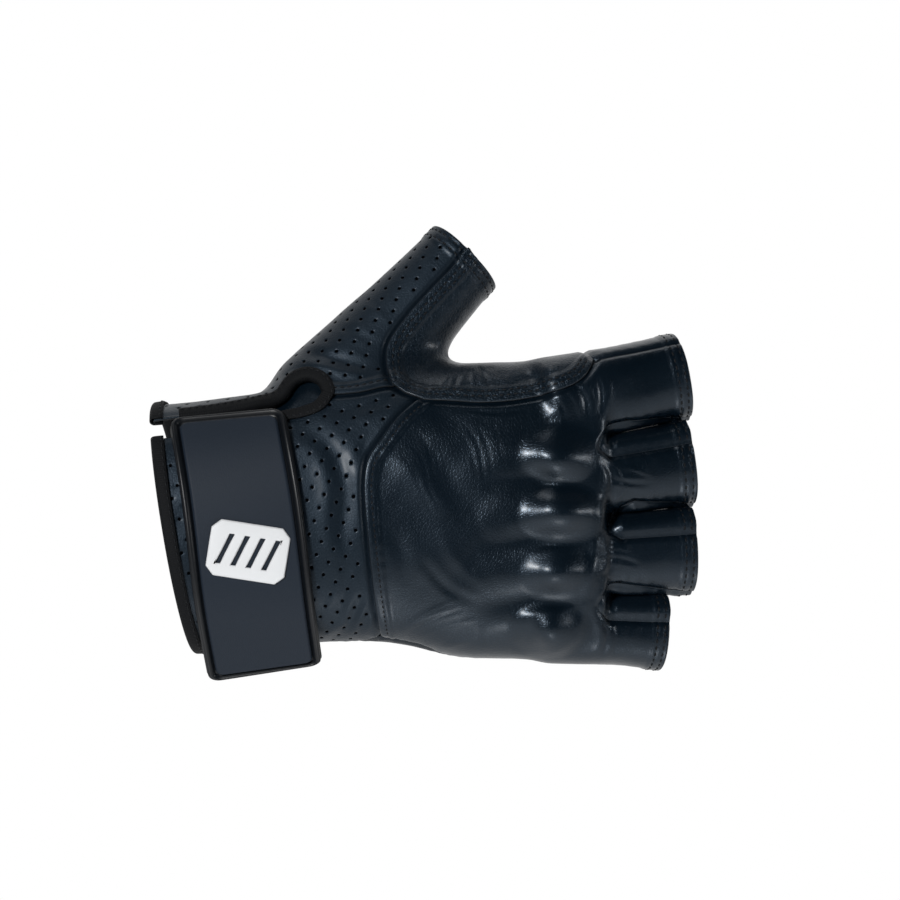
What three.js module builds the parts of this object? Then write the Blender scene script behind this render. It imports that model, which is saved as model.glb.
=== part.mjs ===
// A fingerless leather motorcycle glove for the right hand, in millimetres.
// The fingers point along +X, the thumb stands up towards +Z and the back of the hand faces -Y.
// The origin is the middle of the wrist opening.
//
// The outside of the worn glove is one smooth form: a flattened tube for the wrist and palm, joined to
// a tube for each finger and one for the thumb. Every leather piece is a sheet between four seams that
// lie on that form, laid onto it and given the thickness of leather.

import * as THREE from 'three';

// Leather and seams
const LEATHER = 1.2;
const THIN_LEATHER = 0.9;
const SEAM_GAP = 0.3;

// Wrist and palm: sections square to the hand's length. top is the edge on the thumb side, bottom the
// edge on the little-finger side, back and palm the depths to either face, full the squareness.
const PALM_SECTIONS = [
  { at: -14, top: 38.0, bottom: -39.0, back: 25.0, palm: 25.0, full: 2.1 },
  { at: 5, top: 40.0, bottom: -37.6, back: 25.0, palm: 25.5, full: 2.1 },
  { at: 25, top: 42.0, bottom: -36.2, back: 24.5, palm: 26.0, full: 2.2 },
  { at: 45, top: 46.0, bottom: -35.0, back: 23.5, palm: 26.0, full: 2.3 },
  { at: 65, top: 50.0, bottom: -35.0, back: 22.5, palm: 25.0, full: 2.4 },
  { at: 85, top: 52.0, bottom: -39.3, back: 21.0, palm: 23.0, full: 2.4 },
  { at: 105, top: 52.6, bottom: -40.2, back: 19.5, palm: 19.5, full: 2.5 },
  { at: 120, top: 53.4, bottom: -40.8, back: 17.6, palm: 16.5, full: 2.5 },
  { at: 138, top: 54.0, bottom: -40.6, back: 14.6, palm: 13.0, full: 2.5 },
];
const PALM_END = 133;
const PALM_END_ROUND = 4;

// Fingers: the middle of each one inside the palm and at its rim, half widths inside the palm, at the
// fork and at the rim, half depth, and the angle from the finger's back to the seam on its thumb side.
const FINGERS = [
  { name: 'index', x: 112, y: -6.5, z: 39.1, rimX: 156.3, rimY: 5, rimZ: 48.1,
    wide: [13.7, 13.5, 13.35], deep: 11.8, seam: 51, rootHigh: 17.6, rootLow: 24.6 },
  { name: 'middle', x: 112, y: -7.0, z: 14.2, rimX: 158.1, rimY: 5, rimZ: 21.0,
    wide: [12.2, 12.2, 13.35], deep: 12.0, seam: 28, rootHigh: 21.5, rootLow: 27.4 },
  { name: 'ring', x: 112, y: -6.0, z: -8.4, rimX: 158.9, rimY: 6, rimZ: -6.4,
    wide: [11.9, 12.3, 13.5], deep: 11.8, seam: 23, rootHigh: 24.2, rootLow: 23.3 },
  { name: 'little', x: 112, y: -4.0, z: -29.9, rimX: 150.2, rimY: 6, rimZ: -32.0,
    wide: [11.0, 11.1, 11.8], deep: 10.6, seam: 16, rootHigh: 20.1, rootLow: 22.0 },
];
const FORK_ALONG = 24;
const FINGER_FULL = 2.3;
const FINGER_START_ROUND = 6;

// Thumb: sections along its own length, from its root in the wrist. outer is the edge away from the
// fingers, inner the edge towards them, shift moves the middle towards the palm.
const THUMB_ROOT = new THREE.Vector3(35.4, -3.7, 35.4);
const THUMB_WAY = new THREE.Vector3(1, 0.311, 1).normalize();
const THUMB_SECTIONS = [
  { at: 0, outer: 13.6, inner: -26.0, shift: 6.0, back: 15.0, palm: 18.0 },
  { at: 16, outer: 13.8, inner: -24.0, shift: 5.0, back: 15.5, palm: 18.0 },
  { at: 34, outer: 12.7, inner: -21.5, shift: 3.5, back: 14.5, palm: 16.0 },
  { at: 51, outer: 11.7, inner: -18.6, shift: 1.5, back: 13.0, palm: 14.0 },
  { at: 61, outer: 11.2, inner: -17.2, shift: 0.5, back: 12.3, palm: 13.0 },
  { at: 75, outer: 11.3, inner: -15.8, shift: 0.0, back: 12.0, palm: 12.3 },
  { at: 92, outer: 11.3, inner: -15.4, shift: 0.0, back: 12.0, palm: 12.0 },
];
const THUMB_FULL = 2.2;
const THUMB_START = 4;
const THUMB_START_ROUND = 8;
const THUMB_RIM = 75;

// How softly the tubes run into each other
const FINGER_TO_PALM = 3;
const FINGER_TO_FINGER = 2;
const THUMB_TO_PALM = 10;

// Knuckle domes over the back of the hand: middle, reach along and across, height
const DOMES = [
  { x: 118.5, z: 24.2, along: 14, across: 10.5, height: 4.6 },
  { x: 119.5, z: 5.0, along: 15, across: 10.5, height: 5.0 },
  { x: 119.0, z: -13.8, along: 14, across: 10.0, height: 4.6 },
  { x: 115.5, z: -30.6, along: 14, across: 9.5, height: 4.0 },
];

// Seams that run along the fingers and the wrist, as angles from the back towards the thumb side
const FINGER_LOW_SEAM = -72;
const FINGER_LOW_ROOT = -48;
const PALM_SEAM = 112;
const FORK_PALM_SEAM = 135;
const THUMB_WEB_SEAM = 3;
const THUMB_PALM_SEAM = 115;
const WRIST_SEAM = 112;
const LIP_ANGLE = 58;
const SLIT_ANGLE = 47;

// Tape folded over the wrist edge and round the wrist slit
const TAPE_WIDE = 3.0;
const TAPE_THICK = 0.7;
const TAPE_GAP = 0.45;
const SLIT_TAPE_START = 0.5;

// The lip: how far its lower edge stands up, over how much leather, where it dies out and over what
// length, and the line of its lower edge as a height over the hand's length
const LIP_LIFT = 1.6;
const LIP_RISE = 8;
const LIP_END = 33;
const LIP_FADE = 8;
const lipEdgeZ = (x) => 34.6 + 0.15 * x;

// Leather behind the slit's round end: its span along the hand and across it
const GUSSET_THICK = 0.8;
const GUSSET_LIFT = -3.2;
const GUSSET_ALONG = [29, 49];
const GUSSET_ACROSS = [36.5, 50];
const GUSSET_STEPS = [4, 3];

// Strap: heights over the wrist's leather, and where it leaves the wrist
const STRAP_FOOT = 1.4;
const STRAP_THICK = 1.5;
const STRAP_LEAVE = -26;
const STRAP_STEPS = [6, 14];
const PATCH_STEPS = [5, 12];
const PATCH_INSET = 2.6;
const PATCH_FOOT = 3.2;
const PATCH_THICK = 0.6;

// Badge on the strap: outline and slots in its own plane, heights, place and turn
const BADGE_OUTLINE = [[-9.5, -8.5], [9.5, -8.5], [12, -6], [12, 6], [9.5, 8.5], [-9.5, 8.5], [-12, 6], [-12, -6]];
const BADGE_SLOTS = 4;
const BADGE_SLOT_PITCH = 4.8;
const BADGE_SLOT = [1.0, 5.0, 1.6];
const BADGE_FOOT = 4.2;
const BADGE_TOP = 4.7;
const BADGE_MIDDLE = [22, -6];
const BADGE_TURN = -0.16;
const BADGE_BEND = 0.0085;

const DEG = Math.PI / 180;
const material = (color, roughness) => new THREE.MeshStandardMaterial({ color, roughness, metalness: 0 });
const LEATHER_SMOOTH = material(0x14181e, 0.45);
const LEATHER_PERFORATED = material(0x171b21, 0.55);
const TAPE = material(0x101317, 0.75);
const RUBBER = material(0x1a1d22, 0.4);
const RUBBER_MATTE = material(0x2e3138, 0.7);
const BADGE = material(0xd4d6d8, 0.5);

// A table's row at a place between its rows, each column on a smooth cubic through its values
function rowAt(table, at) {
  const last = table.length - 1;
  const place = Math.min(Math.max(at, table[0].at), table[last].at);
  let i = 0;
  while (i < last - 1 && place > table[i + 1].at) i += 1;
  const from = table[i];
  const to = table[i + 1];
  const before = table[Math.max(i - 1, 0)];
  const after = table[Math.min(i + 2, last)];
  const span = to.at - from.at;
  const f = (place - from.at) / span;
  const row = {};
  for (const key of Object.keys(from)) {
    const slopeFrom = (to[key] - before[key]) / (to.at - before.at);
    const slopeTo = (after[key] - from[key]) / (after.at - from.at);
    const a = (2 * f - 3) * f * f + 1;
    const b = ((f - 2) * f + 1) * f;
    const c = (3 - 2 * f) * f * f;
    const d = (f - 1) * f * f;
    row[key] = a * from[key] + b * span * slopeFrom + c * to[key] + d * span * slopeTo;
  }
  return row;
}

// Distance from a flattened tube's wall, measured out from its middle line
function tubeDistance(across, depth, top, bottom, back, palm, full) {
  const half = (top - bottom) / 2;
  const side = across - (top + bottom) / 2;
  const deep = depth < 0 ? back : palm;
  const ratio = ((Math.abs(side) / half) ** full + (Math.abs(depth) / deep) ** full) ** (1 / full);
  const reach = Math.hypot(side, depth);
  return ratio < 0.05 ? -Math.min(half, deep) : reach - reach / ratio;
}

const softMin = (a, b, soft) => {
  const near = Math.max(soft - Math.abs(a - b), 0) / soft;
  return Math.min(a, b) - near * near * soft / 4;
};
const softMax = (a, b, soft) => -softMin(-a, -b, soft);

// Each limb's own axes: along it, across it towards the thumb side or outside, and towards the palm
function limbAxes(root, way, sideways) {
  const across = sideways.clone().addScaledVector(way, -sideways.dot(way)).normalize();
  return { root, way, across, deep: across.clone().cross(way) };
}
const THUMB = limbAxes(THUMB_ROOT, THUMB_WAY, new THREE.Vector3(-1, 0, 1));
const FINGER_LIMBS = FINGERS.map((finger) => {
  const root = new THREE.Vector3(finger.x, finger.y, finger.z);
  const rim = new THREE.Vector3(finger.rimX, finger.rimY, finger.rimZ);
  const length = root.distanceTo(rim);
  const limb = limbAxes(root, rim.clone().sub(root).divideScalar(length), new THREE.Vector3(0, 0, 1));
  const sections = [0, FORK_ALONG, length].map((at, i) => ({ at, wide: finger.wide[i] }));
  return { ...limb, length, sections, finger };
});

const localOf = (limb, p) => {
  const dx = p.x - limb.root.x;
  const dy = p.y - limb.root.y;
  const dz = p.z - limb.root.z;
  const along = (axis) => dx * axis.x + dy * axis.y + dz * axis.z;
  return { s: along(limb.way), across: along(limb.across), depth: along(limb.deep) };
};

function palmDistance(p) {
  const row = rowAt(PALM_SECTIONS, p.x);
  const wall = tubeDistance(p.z, p.y, row.top, row.bottom, row.back, row.palm, row.full);
  return softMax(wall, p.x - PALM_END, PALM_END_ROUND);
}

function fingerDistance(limb, p) {
  const { s, across, depth } = localOf(limb, p);
  const { wide } = rowAt(limb.sections, s);
  const deep = limb.finger.deep;
  const wall = tubeDistance(across, depth, wide, -wide, deep, deep, FINGER_FULL);
  return softMax(wall, -s, FINGER_START_ROUND);
}

function thumbDistance(p) {
  const { s, across, depth } = localOf(THUMB, p);
  const row = rowAt(THUMB_SECTIONS, s);
  const wall = tubeDistance(across, depth - row.shift, row.outer, row.inner, row.back, row.palm, THUMB_FULL);
  return softMax(wall, THUMB_START - s, THUMB_START_ROUND);
}

function domeHeight(p) {
  if (p.y > -4) return 0;
  let height = 0;
  for (const dome of DOMES) {
    const r2 = ((p.x - dome.x) / dome.along) ** 2 + ((p.z - dome.z) / dome.across) ** 2;
    if (r2 < 1) height += dome.height * (1 - r2) ** 2;
  }
  return height;
}

// The hand with the given fingers' distances: negative inside the worn glove, zero on its outer face
function handDistance(p, fingers) {
  const hand = softMin(palmDistance(p), fingers, FINGER_TO_PALM);
  return softMin(hand, thumbDistance(p), THUMB_TO_PALM) - domeHeight(p);
}

// The form of the whole glove, and that of the hand with one finger only, for what lies in the gaps
const formDistance = (p) => handDistance(p, FINGER_LIMBS.map((limb) => fingerDistance(limb, p))
  .reduce((a, b) => softMin(a, b, FINGER_TO_FINGER)));
const fingerForms = FINGER_LIMBS.map((limb) => (p) => handDistance(p, fingerDistance(limb, p)));

function slopeAt(p, form = formDistance) {
  const step = 0.02;
  const at = (x, y, z) => form({ x: p.x + x, y: p.y + y, z: p.z + z });
  return new THREE.Vector3(
    at(step, 0, 0) - at(-step, 0, 0),
    at(0, step, 0) - at(0, -step, 0),
    at(0, 0, step) - at(0, 0, -step),
  ).divideScalar(2 * step);
}
const outwardAt = (p, form) => slopeAt(p, form).normalize();

// Moves a point onto the form along the form's own slope
function onForm(p, form = formDistance) {
  const q = p.clone();
  for (let turn = 0; turn < 12; turn += 1) {
    const distance = form(q);
    if (Math.abs(distance) < 1e-3) break;
    const slope = slopeAt(q, form);
    const move = Math.max(Math.min(distance / slope.lengthSq(), 4), -4);
    q.addScaledVector(slope, -move);
  }
  return q;
}

// The form's face along Y at a place in the XZ plane, met coming from well outside: sign -1 the back of
// the hand, 1 the palm. Where there is none, the place on the form nearest to that line.
const OUTSIDE = 60;
function faceAt(x, z, sign) {
  const p = new THREE.Vector3(x, sign * OUTSIDE, z);
  const best = { distance: Infinity, y: 0 };
  while (p.y * sign > -OUTSIDE && best.distance > 0.002) {
    const distance = formDistance(p);
    if (distance < best.distance) {
      best.distance = distance;
      best.y = p.y;
    }
    p.y -= sign * Math.max(distance * 0.7, 0.02);
  }
  return onForm(new THREE.Vector3(x, best.y, z));
}
const backAt = (x, z) => faceAt(x, z, -1);
const palmAt = (x, z) => faceAt(x, z, 1);

// A point near a limb's wall: distance along it, angle from its back towards its outer side
function byLimb(limb, s, degrees, wide, deep, middle = 0, shift = 0) {
  const p = limb.root.clone().addScaledVector(limb.way, s);
  p.addScaledVector(limb.across, middle + wide * Math.sin(degrees * DEG));
  return p.addScaledVector(limb.deep, shift - deep * Math.cos(degrees * DEG));
}
function onFinger(i, s, degrees) {
  const limb = FINGER_LIMBS[i];
  return onForm(byLimb(limb, s, degrees, rowAt(limb.sections, s).wide, limb.finger.deep), fingerForms[i]);
}
function onThumb(s, degrees) {
  const row = rowAt(THUMB_SECTIONS, s);
  const wide = (row.outer - row.inner) / 2;
  const deep = Math.cos(degrees * DEG) > 0 ? row.back : row.palm;
  return onForm(byLimb(THUMB, s, degrees, wide, deep, (row.outer + row.inner) / 2, row.shift));
}
function onWrist(x, degrees) {
  const row = rowAt(PALM_SECTIONS, x);
  const deep = Math.cos(degrees * DEG) > 0 ? row.back : row.palm;
  const half = (row.top - row.bottom) / 2;
  const middle = (row.top + row.bottom) / 2;
  return onForm(new THREE.Vector3(x, -deep * Math.cos(degrees * DEG), middle + half * Math.sin(degrees * DEG)));
}

// The wrist edge lies in one slanting plane
const edgeX = (p) => -0.8 - 0.165 * p.z + 0.1 * p.y;
function onWristEdge(degrees) {
  let p = onWrist(0, degrees);
  for (let turn = 0; turn < 4; turn += 1) p = onWrist(edgeX(p), degrees);
  return p;
}

// A seam through a few points of the form, as evenly spaced points, or with a crowding over 1 as points
// that come closer together towards its end
function seam(points, steps, crowding = 1) {
  const curve = new THREE.CatmullRomCurve3(points, false, 'centripetal');
  curve.arcLengthDivisions = 400;
  const run = [points[0]];
  for (let i = 1; i < steps; i += 1) run.push(onForm(curve.getPointAt(1 - (1 - i / steps) ** crowding)));
  return [...run, points[points.length - 1]];
}
// Points of a path between two values of its parameter
const arc = (place, from, to, steps) =>
  Array.from({ length: steps + 1 }, (_, i) => place(from + (to - from) * i / steps));
const joined = (...runs) => runs.flatMap((run, i) => (i === 0 ? run : run.slice(1)));
const reversed = (run) => [...run].reverse();

// A grid between four seams, each interior point laid onto the form of its column. low and high run the
// same way, start and end run from low to high.
function patch(low, high, start, end, formOf = () => formDistance) {
  const across = low.length - 1;
  const up = start.length - 1;
  const grid = [];
  const forms = [];
  for (let j = 0; j <= up; j += 1) {
    for (let i = 0; i <= across; i += 1) {
      const u = i / across;
      const v = j / up;
      const p = new THREE.Vector3();
      p.addScaledVector(low[i], 1 - v).addScaledVector(high[i], v);
      p.addScaledVector(start[j], 1 - u).addScaledVector(end[j], u);
      p.addScaledVector(low[0], -(1 - u) * (1 - v)).addScaledVector(low[across], -u * (1 - v));
      p.addScaledVector(high[0], -(1 - u) * v).addScaledVector(high[across], -u * v);
      const edge = i === 0 || j === 0 || i === across || j === up;
      grid.push(edge ? p : onForm(p, formOf(i)));
      forms.push(formOf(i));
    }
  }
  const faces = [];
  for (let j = 0; j < up; j += 1) {
    for (let i = 0; i < across; i += 1) {
      const a = j * (across + 1) + i;
      const b = a + 1;
      const c = a + across + 1;
      const d = c + 1;
      if ((i + j) % 2 === 0) faces.push([a, b, d], [a, d, c]);
      else faces.push([a, b, c], [b, d, c]);
    }
  }
  return { grid, forms, faces };
}

// Welds patches into one sheet whose faces all look out of the form
function sheetOf(patches) {
  const points = [];
  const normals = [];
  const places = new Map();
  const faces = [];
  for (const { grid, forms, faces: local } of patches) {
    const outward = grid.map((p, i) => outwardAt(p, forms[i]));
    const index = grid.map((p, i) => {
      const key = [p.x, p.y, p.z].map((value) => Math.round(value / 1e-3)).join(' ');
      if (!places.has(key)) {
        places.set(key, points.length);
        points.push(p.clone());
        normals.push(outward[i]);
      }
      return places.get(key);
    });
    let facing = 0;
    for (const [a, b, c] of local) {
      const normal = grid[b].clone().sub(grid[a]).cross(grid[c].clone().sub(grid[a]));
      facing += normal.dot(outward[a]);
    }
    for (const [a, b, c] of local) {
      const face = facing > 0 ? [index[a], index[b], index[c]] : [index[a], index[c], index[b]];
      if (new Set(face).size === 3) faces.push(face);
    }
  }
  return { points, normals, faces };
}

// The sheet's free edges, as directed pairs of points
function freeEdges(faces) {
  const seen = new Set();
  for (const [a, b, c] of faces) {
    seen.add(`${a} ${b}`).add(`${b} ${c}`).add(`${c} ${a}`);
  }
  const edges = [];
  for (const key of seen) {
    const [a, b] = key.split(' ').map(Number);
    if (!seen.has(`${b} ${a}`)) edges.push([a, b]);
  }
  return edges;
}

// Draws the sheet's free edges in along the sheet, so that neighbours keep their gap
function drawnIn({ points, normals, faces }, distance) {
  const pull = points.map(() => new THREE.Vector3());
  for (const [a, b] of freeEdges(faces)) {
    const inward = normals[a].clone().cross(points[b].clone().sub(points[a])).normalize();
    pull[a].add(inward);
    pull[b].add(inward);
  }
  return points.map((p, i) => {
    const way = pull[i];
    return way.lengthSq() > 0 ? p.clone().addScaledVector(way.normalize(), distance) : p.clone();
  });
}

// A closed wall: the sheet raised by lift as its outer face, and its inner face a thickness below
function wallGeometry(sheet, { thickness = LEATHER, lift = () => 0, gap = SEAM_GAP / 2 } = {}) {
  const outer = drawnIn(sheet, gap).map((p, i) => p.addScaledVector(sheet.normals[i], lift(p)));
  const inner = outer.map((p, i) => p.clone().addScaledVector(sheet.normals[i], -thickness));
  const count = outer.length;
  const faces = [];
  for (const [a, b, c] of sheet.faces) {
    faces.push(a, b, c, a + count, c + count, b + count);
  }
  for (const [a, b] of freeEdges(sheet.faces)) {
    faces.push(b, a, a + count, b, a + count, b + count);
  }
  return indexedGeometry([...outer, ...inner], faces);
}

function indexedGeometry(points, faces) {
  const geometry = new THREE.BufferGeometry();
  geometry.setAttribute('position', new THREE.Float32BufferAttribute(points.flatMap((p) => [p.x, p.y, p.z]), 3));
  geometry.setIndex(faces);
  geometry.computeVertexNormals();
  return geometry;
}

function named(name, geometry, look) {
  const mesh = new THREE.Mesh(geometry, look);
  mesh.name = name;
  return mesh;
}

// Corners where several seams meet
const fingerTop = FINGERS.map((finger, i) => onFinger(i, finger.rootHigh, finger.seam));
const fingerLow = FINGERS.map((finger, i) => onFinger(i, finger.rootLow, i === 3 ? -PALM_SEAM : FINGER_LOW_ROOT));
const corner = {
  junction: backAt(67.2, 45.9),
  panelTop: backAt(76.6, 41.4),
  panelFoot: backAt(64.1, -33.2),
  indexRoot: fingerTop[0],
  indexUnder: onFinger(0, FINGERS[0].rootHigh, PALM_SEAM),
  keyhole: backAt(45.8, 43.2),
  thumbRoot: onForm(new THREE.Vector3(35, 14, 50)),
  crotch: onForm(new THREE.Vector3(90, 12, 51)),
  thenar: palmAt(60, 20),
  thumbRimBack: onThumb(THUMB_RIM, THUMB_WEB_SEAM),
  thumbRimOuter: onThumb(THUMB_RIM, THUMB_PALM_SEAM),
  thumbRimInner: onThumb(THUMB_RIM, -THUMB_PALM_SEAM),
  edgeOuter: onWristEdge(WRIST_SEAM),
  edgeLower: onWristEdge(-WRIST_SEAM),
  lipEdge: onWristEdge(LIP_ANGLE),
  slitEdge: onWristEdge(SLIT_ANGLE),
  littleUnder: fingerLow[3],
};

// Steps along the seams. Two pieces that share a seam share its points.
const STEPS = { tongue: 4, top: 5, fork: 4, web: 13, webLeft: 2, under: 6, inner: 5, slit: 5,
  thumbSeam: 3, lip: 12, bulge: 4, outer: 7, thenarLow: 4, thenarHigh: 7, radial: 6, edge: 34, side: 3 };
const SLIT_CROWDING = 1.5;
const ACROSS = 4 * STEPS.top + 3 * STEPS.fork;

// The fork between two fingers: its rounded seam on the back of the hand as places in the XZ plane,
// and the middle of the gap on the palm
const FORKS = [
  { round: [[131.8, 28.2], [131.2, 25.6]], palm: [131.5, 29.6] },
  { round: [[134.6, 3.4], [133.8, 0.6]], palm: [132.5, 5.2] },
  { round: [[132.0, -21.0], [130.4, -24.2]], palm: [130.5, -20.2] },
];
const PALM_FORK = 23;

const line = {
  thumbBack: seam([corner.junction, backAt(65.6, 51), backAt(65.9, 57.5), backAt(72, 66.6), backAt(80, 75.5),
    backAt(86.5, 82.5), corner.thumbRimBack], STEPS.under + STEPS.inner + 2),
  webLeft: seam([corner.junction, backAt(70.6, 43.6), corner.panelTop], STEPS.webLeft),
  webRight: seam([corner.panelTop, backAt(84.4, 41.2), backAt(93.8, 40.6), backAt(103.1, 41.2),
    backAt(112.5, 42.8), backAt(120.3, 45.3), backAt(125.2, 48.2), corner.indexRoot], STEPS.web),
  webEnd: arc((angle) => onFinger(0, FINGERS[0].rootHigh, angle), FINGERS[0].seam, PALM_SEAM, 2),
  webUnder: seam([corner.indexUnder, onWrist(118, 104), onWrist(104, 108), corner.crotch], STEPS.under),
  thumbInner: seam([corner.crotch, onThumb(58, -THUMB_PALM_SEAM), onThumb(67, -THUMB_PALM_SEAM),
    corner.thumbRimInner], STEPS.inner),
  thumbOuter: seam([corner.thumbRoot, onThumb(22, THUMB_PALM_SEAM), onThumb(40, THUMB_PALM_SEAM),
    onThumb(58, THUMB_PALM_SEAM), corner.thumbRimOuter], STEPS.outer),
  thenarLow: seam([corner.thumbRoot, palmAt(44, 30), corner.thenar], STEPS.thenarLow),
  thenarHigh: seam([corner.thenar, palmAt(76, 23), palmAt(87, 36), corner.crotch], STEPS.thenarHigh),
  palmMiddle: seam([corner.thenar, palmAt(62, 0), palmAt(63, -20), corner.panelFoot], ACROSS),
  panelLeft: seam([corner.panelTop, backAt(68.8, 34.4), backAt(64.1, 28.1), backAt(60.2, 22.5),
    backAt(58.8, 15.6), backAt(59.1, 6.2), backAt(60, -3.1), backAt(61.3, -15.6), backAt(62.5, -25),
    corner.panelFoot], ACROSS),
  panelBottom: seam([corner.panelFoot, backAt(68.8, -34.6), backAt(76.6, -36.7), backAt(84, -39.2),
    onWrist(95, -98), onWrist(112, -108), corner.littleUnder], STEPS.web),
  wristBottom: seam([corner.edgeLower, onWrist(25, -110), onWrist(47, -99), corner.panelFoot],
    STEPS.radial + STEPS.thenarLow),
  slitLow: seam([corner.slitEdge, backAt(15, 31.4), backAt(32, 36.2), backAt(38.5, 37.6), backAt(43.2, 39.6),
    corner.keyhole], STEPS.slit, SLIT_CROWDING),
  thumbSeam: seam([corner.keyhole, backAt(50.5, 43.2), backAt(56.3, 43.8), backAt(62.5, 45.2),
    corner.junction], STEPS.thumbSeam),
  lip: seam([corner.lipEdge, backAt(15, 36.0), backAt(28.6, 39.4), backAt(32.6, 42.2), backAt(35.3, 46.0),
    backAt(39.8, 47.9), backAt(43.9, 46.4), corner.keyhole], STEPS.lip, SLIT_CROWDING),
  bulge: seam([corner.keyhole, backAt(42, 52), corner.thumbRoot], STEPS.bulge),
  radial: seam([corner.edgeOuter, onWrist(12, WRIST_SEAM), onWrist(25, WRIST_SEAM), corner.thumbRoot],
    STEPS.radial),
};

// Arcs over a limb at its open end, from one angle to another
const wristEdge = (from, to, steps) => arc(onWristEdge, from, to, steps);
const thumbRim = (from, to, steps) => arc((angle) => onThumb(THUMB_RIM, angle), from, to, steps);
const fingerRim = (i, from, to, steps) => arc((angle) => onFinger(i, FINGER_LIMBS[i].length, angle), from, to, steps);

// A curve over a finger from one place to another, both given as distance along it and angle
const overFinger = (i, from, to, steps) => arc((t) =>
  onFinger(i, from[0] + (to[0] - from[0]) * t, from[1] + (to[1] - from[1]) * t), 0, 1, steps);

const finger = FINGERS.map((row, i) => {
  const length = FINGER_LIMBS[i].length;
  const low = i === 3 ? -PALM_SEAM : FINGER_LOW_SEAM;
  const lowRoot = i === 3 ? -PALM_SEAM : FINGER_LOW_ROOT;
  const palmRoot = i === 0 ? row.rootHigh : PALM_FORK;
  const palmLow = i === 3 ? row.rootLow : PALM_FORK;
  const near = i === 0 ? PALM_SEAM : FORK_PALM_SEAM;
  const far = 360 - (i === 3 ? PALM_SEAM : FORK_PALM_SEAM);
  return {
    backRoot: overFinger(i, [row.rootHigh, row.seam], [row.rootLow, lowRoot], STEPS.top),
    backHigh: overFinger(i, [row.rootHigh, row.seam], [length, row.seam], STEPS.tongue),
    backLow: overFinger(i, [row.rootLow, lowRoot], [length, low], STEPS.tongue),
    backRim: fingerRim(i, row.seam, low, STEPS.top),
    palmRoot: overFinger(i, [palmRoot, near], [palmLow, far], STEPS.top),
    palmHigh: overFinger(i, [palmRoot, near], [length, near], STEPS.tongue),
    palmLow: overFinger(i, [palmLow, far], [length, far], STEPS.tongue),
    palmRim: fingerRim(i, near, far, STEPS.top),
  };
});
const last = (run) => run[run.length - 1];
const fork = FORKS.map(({ round, palm }, i) => ({
  back: seam([last(finger[i].backRoot), ...round.map(([x, z]) => backAt(x, z)), finger[i + 1].backRoot[0]],
    STEPS.fork),
  palm: seam([last(finger[i].palmRoot), palmAt(...palm), finger[i + 1].palmRoot[0]], STEPS.fork),
}));

function backPanel() {
  const right = joined(finger[0].backRoot, fork[0].back, finger[1].backRoot, fork[1].back,
    finger[2].backRoot, fork[2].back, finger[3].backRoot);
  const body = patch(line.webRight, line.panelBottom, line.panelLeft, right);
  const tongues = finger.map((f, i) => patch(f.backRoot, f.backRim, f.backHigh, f.backLow, () => fingerForms[i]));
  return sheetOf([body, ...tongues]);
}

function palmPanel() {
  const right = joined(finger[0].palmRoot, fork[0].palm, finger[1].palmRoot, fork[1].palm,
    finger[2].palmRoot, fork[2].palm, finger[3].palmRoot);
  const wrist = patch(joined(line.radial, line.thenarLow), line.wristBottom,
    wristEdge(WRIST_SEAM, 360 - WRIST_SEAM, ACROSS), line.palmMiddle);
  const body = patch(joined(line.thenarHigh, reversed(line.webUnder)), line.panelBottom, line.palmMiddle, right);
  const tongues = finger.map((f, i) => patch(f.palmRoot, f.palmRim, f.palmHigh, f.palmLow, () => fingerForms[i]));
  return sheetOf([wrist, body, ...tongues]);
}

function wristBackPanel() {
  const top = joined(line.slitLow, line.thumbSeam, line.webLeft);
  const edge = wristEdge(-WRIST_SEAM, SLIT_ANGLE, ACROSS);
  return sheetOf([patch(line.wristBottom, top, edge, reversed(line.panelLeft))]);
}

function thumbBackPanel() {
  const edge = wristEdge(LIP_ANGLE, WRIST_SEAM, STEPS.bulge);
  const radial = seam([corner.edgeOuter, onWrist(12, WRIST_SEAM), onWrist(25, WRIST_SEAM), corner.thumbRoot],
    STEPS.lip);
  const cuff = patch(line.lip, radial, edge, line.bulge);
  const low = joined(reversed(line.bulge), line.thumbSeam);
  const rim = thumbRim(THUMB_PALM_SEAM, THUMB_WEB_SEAM, low.length - 1);
  const outer = seam([corner.thumbRoot, onThumb(22, THUMB_PALM_SEAM), onThumb(40, THUMB_PALM_SEAM),
    onThumb(58, THUMB_PALM_SEAM), corner.thumbRimOuter], line.thumbBack.length - 1);
  return sheetOf([cuff, patch(low, rim, outer, line.thumbBack)]);
}

function thumbWebPanel() {
  const low = joined(line.webLeft, line.webRight);
  const rim = thumbRim(THUMB_WEB_SEAM, -THUMB_PALM_SEAM, low.length - 1);
  const end = joined(line.webEnd, line.webUnder, line.thumbInner);
  return sheetOf([patch(low, rim, line.thumbBack, end)]);
}

function thumbPalmPanel() {
  const thenar = joined(line.thenarLow, line.thenarHigh);
  const rim = thumbRim(THUMB_PALM_SEAM, 360 - THUMB_PALM_SEAM, thenar.length - 1);
  const inner = seam([corner.crotch, onThumb(58, -THUMB_PALM_SEAM), onThumb(67, -THUMB_PALM_SEAM),
    corner.thumbRimInner], STEPS.outer);
  return sheetOf([patch(thenar, rim, line.thumbOuter, inner)]);
}

function indexSideStrip() {
  const end = finger[0];
  const rim = fingerRim(0, FINGERS[0].seam, PALM_SEAM, 2);
  return sheetOf([patch(end.backHigh, end.palmHigh, line.webEnd, rim)]);
}

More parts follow.
